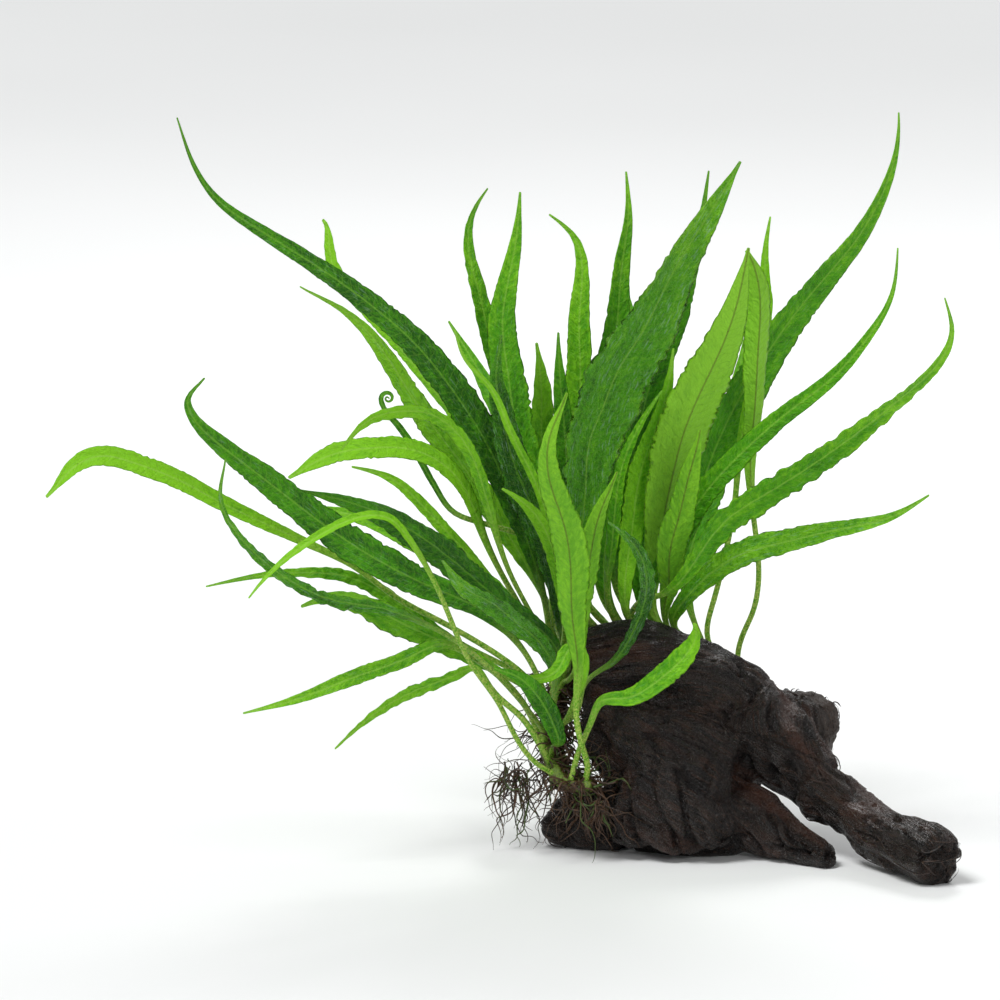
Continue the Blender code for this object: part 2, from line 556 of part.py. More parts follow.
def crozier(course):
    """The course with its end rolled up like a fiddlehead, in the plane seen from the front."""
    end = course[-1]
    heading = course[-1] - course[-3]
    heading[1] = 0
    heading /= np.linalg.norm(heading)
    side = np.array([heading[2], 0, -heading[0]])
    centre = end + side * CROZIER_RADIUS
    rolled = []
    for step in range(1, round(CROZIER_TURNS * 12) + 1):
        angle = step * math.tau / CROZIER_STEPS
        size = CROZIER_RADIUS - CROZIER_PITCH * angle / math.tau
        rolled.append(centre + size * (heading * math.sin(angle) - side * math.cos(angle)))
    return np.vstack([course, rolled])


def blade_frames(course):
    """The heading at each place of a course, and the way that a blade there faces, near -Y."""
    tangents = np.gradient(course, axis=0)
    tangents /= np.linalg.norm(tangents, axis=1)[:, None]
    front = np.array([0.0, -1.0, 0.0])
    facing = front - tangents * (tangents @ front)[:, None]
    return tangents, facing / np.linalg.norm(facing, axis=1)[:, None]


def ring_places(course, count):
    """Steps along a course for its rings, closer together where it bends."""
    tangents = np.gradient(course, axis=0)
    steps = np.linalg.norm(tangents, axis=1)
    tangents /= steps[:, None]
    bend = np.linalg.norm(np.gradient(tangents, axis=0), axis=1) / steps
    weight = steps * (1 + BEND_WEIGHT * bend)
    along = np.concatenate([[0], np.cumsum((weight[1:] + weight[:-1]) / 2)])
    wanted = np.linspace(0, along[-1], count + 1)
    return np.interp(wanted, along, range(len(course))).round().astype(int)


def section(frond, place, share, tangent, facing, twist):
    """The four corners of a ring: one edge, over the midrib, the other edge, under the midrib."""
    half, flat = blade_profile(frond, share)
    turn = math.radians(frond.turn) + twist * (share - 0.5)
    normal = facing * math.cos(turn) + np.cross(tangent, facing) * math.sin(turn)
    across = np.cross(tangent, normal)
    thin = min(1, half / (PETIOLE_RADIUS + 0.4))
    top = PETIOLE_RADIUS + (BLADE_TOP - PETIOLE_RADIUS) * flat
    under = PETIOLE_RADIUS + (BLADE_UNDER - PETIOLE_RADIUS) * flat
    lift = frond.fold * half * flat
    wide = half * math.sqrt(1 - (frond.fold * flat) ** 2)
    return (
        place + across * wide + normal * lift,
        place + normal * top * thin,
        place - across * wide + normal * lift,
        place - normal * under * thin,
    )


def loft_frond(frond, index, course, parts, finish):
    """A stalk that flattens into a folded blade, as rings of four points with a point at each end."""
    length = np.linalg.norm(np.diff(course, axis=0), axis=1).sum()
    rings = min(max(round(length / RING_SPACING), LEAST_RINGS), MOST_RINGS)
    if frond.name == CROZIER:
        course = crozier(course)
        rings = CROZIER_RINGS
    course = smooth_course(course, COURSE_STEPS + 1)
    tangents, facing = blade_frames(course)
    twist = math.radians(TWIST * math.sin(2.4 * index))
    work = bmesh.new()
    tail = work.verts.new((course[0] - END_BULGE * tangents[0]) * MM)
    before = None
    for step in ring_places(course, rings):
        share = step / COURSE_STEPS
        corners = section(frond, course[step], share, tangents[step], facing[step], twist)
        now = [work.verts.new(Vector(corner) * MM) for corner in corners]
        for one, two in ((0, 1), (1, 2), (2, 3), (3, 0)):
            if before is None:
                work.faces.new((tail, now[one], now[two]))
                continue
            work.faces.new((before[one], now[one], now[two]))
            work.faces.new((before[one], now[two], before[two]))
        before = now
    tip = work.verts.new((course[-1] + END_BULGE * tangents[-1]) * MM)
    for one, two in ((0, 1), (1, 2), (2, 3), (3, 0)):
        work.faces.new((before[two], before[one], tip))
    bmesh.ops.recalc_face_normals(work, faces=work.faces)
    name = "frond_" + frond.name
    mesh = bpy.data.meshes.new(name)
    work.to_mesh(mesh)
    work.free()
    mesh.shade_smooth()
    return add_object(name, mesh, parts, finish)


def build_fronds(parts, finish):
    rhizome = smooth_course(RHIZOME, 40 * (len(RHIZOME) - 1) + 1)
    courses = spread_fronds([frond_course(frond, rhizome) for frond in FRONDS])
    for index, (frond, course) in enumerate(zip(FRONDS, courses)):
        loft_frond(frond, index, course, parts, finish)


def build_rhizome(parts, finish):
    points = [
        (*place, RHIZOME_RADIUS * (1 if 0 < i < len(RHIZOME) - 1 else RHIZOME_END))
        for i, place in enumerate(RHIZOME)
    ]
    tube("rhizome", points, parts, finish, corners=1, resolution=4)


def build_roots(parts, finish):
    for name, points in ROOTS.items():
        tube(name, points, parts, finish, corners=1, resolution=4)


def main():
    clear_scene()
    parts = new_collection("java_fern_on_driftwood", True)
    cutters = new_collection("cutters", False)
    plant_frame = bpy.data.objects.new("plant_frame", None)
    parts.objects.link(plant_frame)
    roughness = {"wood": 0.45, "knob": 0.8, "leaf": 0.35, "rhizome": 0.5, "roots": 0.7}
    finishes = {name: material(name, colour, roughness[name]) for name, colour in COLOURS.items()}
    build_driftwood(parts, cutters, finishes)
    build_rhizome(parts, finishes["rhizome"])
    build_roots(parts, finishes["roots"])
    build_fronds(parts, finishes["leaf"])
    plant_frame.location = -Vector(ORIGIN) * MM


main()
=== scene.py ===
import math

import bmesh
import bpy
import numpy as np
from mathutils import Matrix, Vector
from mathutils.kdtree import KDTree


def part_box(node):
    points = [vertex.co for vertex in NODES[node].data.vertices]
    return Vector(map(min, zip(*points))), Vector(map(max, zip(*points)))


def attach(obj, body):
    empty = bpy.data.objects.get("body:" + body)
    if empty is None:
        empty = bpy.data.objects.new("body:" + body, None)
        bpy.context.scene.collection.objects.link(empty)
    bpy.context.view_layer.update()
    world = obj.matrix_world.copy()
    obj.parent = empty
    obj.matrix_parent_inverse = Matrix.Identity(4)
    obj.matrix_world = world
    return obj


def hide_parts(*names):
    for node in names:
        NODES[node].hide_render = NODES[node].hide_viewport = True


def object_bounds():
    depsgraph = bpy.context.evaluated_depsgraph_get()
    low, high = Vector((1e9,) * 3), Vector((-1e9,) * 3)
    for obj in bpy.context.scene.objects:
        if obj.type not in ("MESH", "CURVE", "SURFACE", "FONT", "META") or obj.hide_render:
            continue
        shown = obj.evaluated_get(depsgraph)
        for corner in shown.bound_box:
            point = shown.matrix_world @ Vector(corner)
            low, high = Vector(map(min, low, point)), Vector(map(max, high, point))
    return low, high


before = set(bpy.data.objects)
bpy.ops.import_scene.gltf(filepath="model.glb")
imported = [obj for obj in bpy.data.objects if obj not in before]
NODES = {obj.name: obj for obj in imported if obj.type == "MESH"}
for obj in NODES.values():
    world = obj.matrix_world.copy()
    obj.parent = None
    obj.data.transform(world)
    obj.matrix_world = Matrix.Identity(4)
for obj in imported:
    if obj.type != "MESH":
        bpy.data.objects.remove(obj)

MM = 0.001
PER_METRE = 1000
CAD_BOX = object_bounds()

# -------------------- view and light
VIEW_ELEVATION = math.radians(11)
VIEW_DISTANCE = 5.0
FRAME_WIDTH = 0.420  # metres across the picture at the object
TARGET_FROM_MIDDLE = Vector((-0.0015, -0.0166, -0.0095))
WORLD_LIGHT = 0.36
SUN_LIGHT = 2.1
SUN_WIDTH = math.radians(22)
SUN_FROM = (-0.45, -0.35, 1.0)
# Each lamp: its name, its place from the object's middle in metres, and its power in watts.
LAMPS = (("front", (0.5, -1.5, 0.5), 6), ("back", (0.3, 1.2, 1.0), 9))
LAMP_SIZE = 0.5
SENSOR_WIDTH = 36
CLIP_END = 50
FLOOR_HALF_SIZE = 3.0
FLOOR_GAP = 0.0002  # metres between the floor and the wood's underside
PALE = (0.86, 0.87, 0.87)
PALE_CLOUD = (0.84, 0.85, 0.85)


def show(thing):
    bpy.context.scene.collection.objects.link(thing)


def facing(direction):
    """The turn that points a lamp or camera back along a direction."""
    return Vector(direction).to_track_quat("Z", "Y").to_euler()


def box_middle():
    low, high = CAD_BOX
    return (Vector(low) + Vector(high)) / 2


def add_camera():
    data = bpy.data.cameras.new("camera")
    data.sensor_width = SENSOR_WIDTH
    data.lens = data.sensor_width * VIEW_DISTANCE / FRAME_WIDTH
    data.clip_end = CLIP_END
    camera = bpy.data.objects.new("camera", data)
    target = box_middle() + TARGET_FROM_MIDDLE
    back = Vector((0, -math.cos(VIEW_ELEVATION), math.sin(VIEW_ELEVATION)))
    camera.location = target + back * VIEW_DISTANCE
    camera.rotation_euler = facing(back)
    show(camera)
    bpy.context.scene.camera = camera


def add_lamp(name, place, power):
    data = bpy.data.lights.new(name, "AREA")
    data.shape = "DISK"
    data.size = LAMP_SIZE
    data.energy = power
    lamp = bpy.data.objects.new(name, data)
    lamp.location = box_middle() + Vector(place)
    lamp.rotation_euler = facing(place)
    show(lamp)


def add_sun():
    data = bpy.data.lights.new("key", "SUN")
    data.energy = SUN_LIGHT
    data.angle = SUN_WIDTH
    lamp = bpy.data.objects.new("key", data)
    lamp.rotation_euler = facing(SUN_FROM)
    show(lamp)


def add_world():
    world = bpy.data.worlds.new("studio")
    world.use_nodes = True
    background = world.node_tree.nodes["Background"]
    background.inputs["Color"].default_value = (1.0, 1.0, 1.0, 1)
    background.inputs["Strength"].default_value = WORLD_LIGHT
    bpy.context.scene.world = world


def add_floor():
    half = FLOOR_HALF_SIZE
    mesh = bpy.data.meshes.new("floor")
    corners = [(-half, -half, 0), (half, -half, 0), (half, half, 0), (-half, half, 0)]
    mesh.from_pydata(corners, [], [(0, 1, 2, 3)])
    g = Graph("pale_floor")
    cloud = g.noise(g.stretched(g.attribute("position"), (2.0, 2.0, 2.0)), detail=2)
    shade = g.mix(g.between(cloud, 0.3, 0.7), PALE, PALE_CLOUD)
    mesh.materials.append(g.finish(shade, 0.75, Specular_IOR_Level=0.2))
    floor = bpy.data.objects.new("floor", mesh)
    floor.location.z = CAD_BOX[0][2] - FLOOR_GAP
    show(floor)


def add_stage():
    add_world()
    add_floor()
    add_sun()
    for lamp in LAMPS:
        add_lamp(*lamp)
    bpy.context.scene.view_settings.view_transform = "Standard"


# -------------------- numbers
NOISE_GAIN = 1.6  # brings the noise to about -1 to 1
OCTAVE_STEP = 2.03  # how much finer each further layer of noise is
OCTAVE_GAIN = 0.5
OCTAVES = 3


def hashed(x, y, z, seed):
    """A number from -1 to 1 for each whole-numbered place."""
    n = (x * 374761393 + y * 668265263 + z * 1440662683 + seed * 1013904223) & 0xFFFFFFFF
    n = ((n ^ (n >> 13)) * 1274126177) & 0xFFFFFFFF
    n = ((n ^ (n >> 15)) * 2246822519) & 0xFFFFFFFF
    n ^= n >> 16
    return n / 2147483647.5 - 1


def noise(places, seed=0):
    """Smooth noise from about -1 to 1 at each place of an (n, 3) array."""
    places = np.asarray(places, float)
    low = np.floor(places).astype(np.int64)
    part = places - low
    ease = part * part * part * (part * (part * 6 - 15) + 10)
    total = np.zeros(len(places))
    for corner in range(8):
        step = np.array([corner & 1, corner >> 1 & 1, corner >> 2 & 1])
        at = low + step
        away = part - step
        slope = sum(
            hashed(at[:, 0], at[:, 1], at[:, 2], seed * 3 + axis) * away[:, axis]
            for axis in range(3)
        )
        weight = np.prod(np.where(step, ease, 1 - ease), axis=1)
        total += weight * slope
    return total * NOISE_GAIN


def rough(places, seed):
    """Noise with finer and finer noise on top."""
    total = np.zeros(len(places))
    size = 1.0
    for octave in range(OCTAVES):
        total += size * noise(places * OCTAVE_STEP**octave, seed + 7 * octave)
        size *= OCTAVE_GAIN
    return total


def eased(x):
    """x kept within 0 and 1, with a soft start and end."""
    x = np.clip(x, 0, 1)
    return x * x * (3 - 2 * x)


def unit(vectors):
    """The vectors scaled to a length of one."""
    return vectors / np.maximum(np.linalg.norm(vectors, axis=-1, keepdims=True), 1e-12)


def spline(knots, values, at):
    """A natural cubic spline through values at the knots, read at the places in at."""
    count = len(knots)
    gap = np.diff(knots)
    matrix = np.eye(count)
    bend = np.zeros((count, values.shape[1]))
    for i in range(1, count - 1):
        matrix[i, i - 1:i + 2] = gap[i - 1], 2 * (gap[i - 1] + gap[i]), gap[i]
        ahead = (values[i + 1] - values[i]) / gap[i]
        behind = (values[i] - values[i - 1]) / gap[i - 1]
        bend[i] = 6 * (ahead - behind)
    bend = np.linalg.solve(matrix, bend)
    i = np.clip(np.searchsorted(knots, at) - 1, 0, count - 2)
    wide = gap[i][:, None]
    a = (at - knots[i])[:, None]
    b = wide - a
    return (
        bend[i] * b**3 / (6 * wide)
        + bend[i + 1] * a**3 / (6 * wide)
        + (values[i] / wide - bend[i] * wide / 6) * b
        + (values[i + 1] / wide - bend[i + 1] * wide / 6) * a
    )


def run_lengths(course):
    """How far along a course each of its places is."""
    return np.concatenate([[0], np.cumsum(np.linalg.norm(np.diff(course, axis=0), axis=1))])


def blurred(values, width):
    """values averaged with their neighbours, width being a third of the reach in steps."""
    reach = max(int(3 * width), 1)
    weights = np.exp(-0.5 * (np.arange(-reach, reach + 1) / width) ** 2)
    padded = np.pad(values, reach, mode="edge")
    return np.convolve(padded, weights / weights.sum(), mode="valid")


def node_box(name):
    """The low and high corners of a CAD node's box, in mm."""
    return (np.array(corner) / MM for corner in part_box(name))


def node_places(name):
    """The corners of a CAD node's solid, in mm."""
    return np.array([v.co for v in NODES[name].data.vertices]) / MM


def add_mesh(name, places_mm, faces, material, attributes):
    """A smooth-shaded mesh object, its places given in millimetres."""
    mesh = bpy.data.meshes.new(name)
    mesh.from_pydata((np.asarray(places_mm) * MM).tolist(), [], faces)
    for label, values in attributes.items():
        values = np.ascontiguousarray(values, np.float32)
        kind = "FLOAT_VECTOR" if values.ndim == 2 else "FLOAT"
        layer = mesh.attributes.new(label, kind, "POINT")
        part = "vector" if kind == "FLOAT_VECTOR" else "value"
        layer.data.foreach_set(part, values.reshape(-1))
    mesh.shade_smooth()
    mesh.materials.append(material)
    thing = bpy.data.objects.new(name, mesh)
    show(thing)
    return thing


# -------------------- material nodes
class Graph:
    """A material's nodes, each call returning the output to plug in next."""

    def __init__(self, name):
        self.material = bpy.data.materials.new(name)
        self.material.use_nodes = True
        self.tree = self.material.node_tree
        self.shader = self.tree.nodes["Principled BSDF"]

    def put(self, socket, value):
        if isinstance(value, bpy.types.NodeSocket):
            self.tree.links.new(value, socket)
        elif hasattr(value, "__len__") and len(value) == 3 and len(socket.default_value) == 4:
            socket.default_value = (*value, 1)
        else:
            socket.default_value = value

    def node(self, kind, inputs, output=0, **settings):
        made = self.tree.nodes.new(kind)
        for key, value in settings.items():
            setattr(made, key, value)
        for key, value in inputs.items():
            if value is not None:
                self.put(made.inputs[key], value)
        return made.outputs[output]

    def attribute(self, name, output="Vector"):
        return self.node("ShaderNodeAttribute", {}, output, attribute_name=name)

    def place_mm(self):
        return self.stretched(self.attribute("position"), (PER_METRE, PER_METRE, PER_METRE))

    def split(self, vector):
        made = self.tree.nodes.new("ShaderNodeSeparateXYZ")
        self.put(made.inputs[0], vector)
        return made.outputs[0], made.outputs[1], made.outputs[2]

    def join(self, x, y, z):
        return self.node("ShaderNodeCombineXYZ", {0: x, 1: y, 2: z})

    def maths(self, operation, one, two=None):
        return self.node("ShaderNodeMath", {0: one, 1: two}, operation=operation)

    def times(self, one, two):
        return self.maths("MULTIPLY", one, two)

    def plus(self, one, two):
        return self.maths("ADD", one, two)

    def between(self, value, low, high, to_low=0.0, to_high=1.0):
        """value eased from low..high to to_low..to_high."""
        return self.node(
            "ShaderNodeMapRange",
            {0: value, 1: low, 2: high, 3: to_low, 4: to_high},
            interpolation_type="SMOOTHSTEP",
        )

    def mix(self, share, one, two):
        made = self.tree.nodes.new("ShaderNodeMix")
        made.data_type = "RGBA"
        self.put(made.inputs[0], share)
        self.put(made.inputs[6], one)
        self.put(made.inputs[7], two)
        return made.outputs[2]

    def stretched(self, vector, scale):
        return self.node(
            "ShaderNodeVectorMath", {0: vector, 1: scale}, operation="MULTIPLY"
        )

    def noise(self, vector, detail, roughness=0.5):
        return self.node(
            "ShaderNodeTexNoise",
            {"Vector": vector, "Scale": 1.0, "Detail": detail, "Roughness": roughness},
        )

    def cells(self, vector, feature="DISTANCE_TO_EDGE"):
        return self.node(
            "ShaderNodeTexVoronoi", {"Vector": vector, "Scale": 1.0}, "Distance", feature=feature
        )

    def bump(self, height, strength, distance):
        return self.node(
            "ShaderNodeBump", {"Height": height, "Strength": strength, "Distance": distance}
        )

    def finish(self, colour, roughness, normal=None, **more):
        self.put(self.shader.inputs["Base Color"], colour)
        self.put(self.shader.inputs["Roughness"], roughness)
        if normal is not None:
            self.put(self.shader.inputs["Normal"], normal)
        for key, value in more.items():
            self.put(self.shader.inputs[key.replace("_", " ")], value)
        return self.material


# -------------------- fronds
DARK = (0.015, 0.105, 0.003)
MIDDLE = (0.064, 0.300, 0.003)
BRIGHT = (0.215, 0.560, 0.014)
UNDER = (0.270, 0.560, 0.050)
UNDER_VEIN = (0.075, 0.270, 0.006)
UNDER_RIB = (0.090, 0.080, 0.018)
VEIN = (0.300, 0.580, 0.070)
STALK = (0.430, 0.550, 0.110)
SPECK = (0.060, 0.025, 0.010)
BLADE_POINTS = 14  # intervals across one face of a blade
BLADE_STEP = 1.5  # mm between sections of a blade
STALK_STEP = 3.0
SECTION_TURN = 0.22  # radians that a course may bend between two sections
STALK_RADIUS = 1.05
LAMINA = 0.32  # mm, thickness of a blade away from its midrib
FULLNESS = 0.72  # power that fills out a blade below its widest place
SUNK = 2.2  # mm that a stalk runs on into the rhizome
TIP_HALF_WIDTH = 0.25
TIP_SLOPE = 0.5  # how fast a blade may widen from its tip
TIP_REACH = 0.3  # mm that the last corner stands past the last section
FINE_STEP = 0.5  # mm between the places that a course is worked out at
WIDTH_BLUR = 8
SWING_LENGTH = 45
SWING = 0.5  # radians that a blade's end may turn
# pale colour of the painted wet sheen highlight on the blades
WET_SHEEN_HIGHLIGHT = (0.30, 0.50, 0.34)
# Marks of a blade: mm along it from one to the next, and their size.
LOBE, LOBE_DEPTH = 16, 0.13
SCALLOP, SCALLOP_DEPTH = 4.6, 0.09
TOOTH, TOOTH_DEPTH = 3.3, 0.24
RIPPLE, RIPPLE_HEIGHT = 7.5, 0.85
SWELL, SWELL_HEIGHT = 3.7, 0.16
DRIFT, DRIFT_HEIGHT = 38, 0.9
CRUMPLE, CRUMPLE_WIDTH, CRUMPLE_HEIGHT = 4.0, 2.4, 0.42
RIB_OVER, RIB_UNDER = 0.10, 0.62  # mm that the midrib stands out over and under the blade

# Each frond: its tone from dark to bright, how crinkled it is and how wet it looks.
LOOKS = {
    "left_01": (0.12, 1.2, 0.5), "left_02": (0.80, 0.6, 0.1), "left_03": (0.78, 1.0, 0.3),
    "left_04": (0.20, 0.8, 0.4), "left_05": (0.12, 1.0, 0.4), "left_06": (0.90, 0.4, 0.1),
    "left_07": (0.85, 0.4, 0.1), "left_08": (0.75, 0.9, 0.2), "left_09": (0.85, 0.6, 0.1),
    "left_10": (0.80, 0.8, 0.2), "left_11": (0.10, 0.4, 0.2), "left_12": (0.30, 1.5, 0.7),
    "left_13": (0.58, 1.4, 0.3), "left_14": (0.60, 1.4, 0.3), "left_15": (0.62, 1.0, 0.3),
    "left_16": (0.68, 1.3, 0.2), "centre_01": (0.60, 0.8, 0.1), "centre_02": (0.62, 0.8, 0.1),
    "centre_03": (0.78, 0.6, 0.1), "centre_04": (0.10, 0.9, 1.0), "centre_05": (0.58, 1.0, 0.2),
    "centre_06": (0.75, 0.8, 0.2), "centre_07": (0.15, 0.7, 0.3), "centre_08": (0.30, 1.2, 0.8),
    "centre_09": (0.45, 1.0, 0.2), "centre_10": (0.42, 0.8, 0.2), "centre_11": (0.05, 1.6, 1.0),
    "centre_12": (0.60, 0.8, 0.1), "centre_13": (0.45, 0.7, 0.2), "centre_14": (0.62, 0.8, 0.1),
    "centre_15": (0.22, 0.9, 0.2), "centre_16": (0.80, 0.6, 0.1), "right_01": (0.28, 0.9, 0.2),
    "right_02": (0.40, 1.2, 0.9), "right_03": (0.75, 0.8, 0.1), "right_04": (0.45, 0.8, 0.1),
    "right_05": (0.85, 0.9, 0.2), "right_06": (0.58, 0.8, 0.1), "right_07": (0.80, 0.5, 0.1),
    "right_08": (0.78, 0.6, 0.1), "right_09": (0.40, 0.7, 0.2), "right_10": (0.40, 0.6, 0.1),
    "right_11": (0.52, 1.4, 0.2), "right_12": (0.55, 1.1, 0.6), "middle_01": (0.30, 0.9, 0.2),
    "middle_02": (0.35, 0.9, 0.2), "back_01": (0.40, 0.9, 0.2), "back_02": (0.30, 1.0, 0.3),
    "back_03": (0.45, 0.9, 0.2), "back_04": (0.55, 1.0, 0.2),
}


def welded(mesh):
    """(places in mm, neighbours of each) with corners that share a place made one."""
    found = {}
    index = [found.setdefault(tuple(v.co), len(found)) for v in mesh.vertices]
    places = np.array(list(found), float) / MM
    near = [set() for _ in found]
    for edge in mesh.edges:
        one, two = (index[v] for v in edge.vertices)
        if one != two:
            near[one].add(two)
            near[two].add(one)
    return places, near


def ring_walk(near, tail, order):
    """The rings from the tail to the tip, corner j of each joined to corner j before."""
    rings = [order]
    seen = {tail, *order}
    while True:
        before = rings[-1]
        layer = set().union(*(near[v] for v in before)) - seen
        if len(layer) < 4:
            return rings
        now = []
        for j in range(4):
            behind = {before[j], before[j - 1]}
            now.append(next(v for v in layer if behind <= near[v]))
        seen |= layer
        rings.append(now)


def frond_rings(name):
    """A frond's rings of corners in mm, as edge, over, other edge and under, and its tip."""
    places, near = welded(NODES[name].data)
    low, high = node_box("rhizome")
    ends = [i for i, others in enumerate(near) if len(others) == 4]
    away = [np.linalg.norm(places[i] - np.clip(places[i], low, high)) for i in ends]
    tail = ends[int(np.argmin(away))]
    tip = ends[int(np.argmax(away))]
    first = next(iter(near[tail]))
    second, fourth = near[first] & near[tail]
    third = next(v for v in near[tail] if v not in (first, second, fourth))
    best = None
    for order in ([first, second, third, fourth], [first, fourth, third, second]):
        rings = places[np.array(ring_walk(near, tail, order))]
        out = unit(rings - rings.mean(axis=1, keepdims=True))
        match = (out[1:] * out[:-1]).sum()
        if best is None or match > best[0]:
            best = (match, rings)
    rings = best[1]
    spans = np.linalg.norm(rings[:, :2] - rings[:, 2:], axis=2).max(axis=0)
    if spans[1] > spans[0]:
        rings = np.roll(rings, -1, axis=1)
    widest = int(np.argmax(np.linalg.norm(rings[:, 0] - rings[:, 2], axis=1)))
    middle = (rings[widest, 0] + rings[widest, 2]) / 2
    over, under = (np.linalg.norm(rings[widest, k] - middle) for k in (1, 3))
    if over > under:
        rings = rings[:, [0, 3, 2, 1]]
    return rings, places[tip]


def frond_course(name):
    """Places along a frond's midrib with its frame there, half width and how far its edges rise."""
    rings, tip = frond_rings(name)
    flat = np.linalg.norm(rings[:, 0] - rings[:, 2], axis=1)
    deep = np.linalg.norm(rings[:, 1] - rings[:, 3], axis=1)
    share = 0.5 + 0.125 * np.clip((flat / deep - 1) / 3, 0, 1)
    middle = rings[:, 3] + (rings[:, 1] - rings[:, 3]) * share[:, None]
    up = unit(rings[:, 1] - rings[:, 3])
    lift = ((rings[:, 0] + rings[:, 2]) / 2 - middle) * up
    lift = lift.sum(axis=1)
    half = np.hypot(flat / 2, lift)
    heading = unit(middle[1] - middle[0])
    middle = np.vstack([middle[0] - heading * SUNK, middle, tip])
    up = np.vstack([up[0], up, up[-1]])
    lift = np.array([0, *lift, 0])
    half = np.array([half[0], *half, TIP_HALF_WIDTH])
    knots = run_lengths(middle)
    fine = np.linspace(0, knots[-1], int(knots[-1] / FINE_STEP) + 1)
    course = spline(knots, middle, fine)
    lengths = run_lengths(course)
    wide = blurred(np.interp(fine, knots, half), WIDTH_BLUR)
    wide = np.minimum(wide, TIP_HALF_WIDTH + (fine[-1] - fine) * TIP_SLOPE)
    rise = blurred(np.interp(fine, knots, lift), WIDTH_BLUR)
    turned = spline(knots, up, fine)
    return course, lengths, turned, wide, rise


def stations(course, lengths, wide):
    """Which places of a fine course get a section: closer on the blade and where it bends."""
    step = np.where(wide > 1.3 * STALK_RADIUS, BLADE_STEP, STALK_STEP)
    heading = unit(np.gradient(course, axis=0))
    turning = np.linalg.norm(np.gradient(heading, axis=0), axis=1) / np.gradient(lengths)
    step = np.minimum(step, SECTION_TURN / np.maximum(blurred(turning, 2), 1e-4))
    weight = np.concatenate([[0], np.cumsum(np.diff(lengths) / step[1:])])
    wanted = np.linspace(0, weight[-1], max(int(weight[-1]), 12) + 1)
    return np.interp(wanted, weight, range(len(lengths)))


def tube_faces(rings, points):
    """Faces of a tube of rings, closed by one corner before them and one after them."""
    faces = []
    for i in range(rings - 1):
        near, far = i * points, (i + 1) * points
        for j in range(points):
            k = (j + 1) % points
            faces.append((near + j, far + j, far + k, near + k))
    last = (rings - 1) * points
    end = rings * points
    for j in range(points):
        k = (j + 1) % points
        faces.append((end, j, k))
        faces.append((last + k, last + j, end + 1))
    return faces


def turn_outward(piece):
    """Turn a closed mesh's faces over if they face inwards."""
    skin = bmesh.new()
    skin.from_mesh(piece.data)
    if skin.calc_volume(signed=True) < 0:
        bmesh.ops.reverse_faces(skin, faces=skin.faces)
        skin.to_mesh(piece.data)
    skin.free()


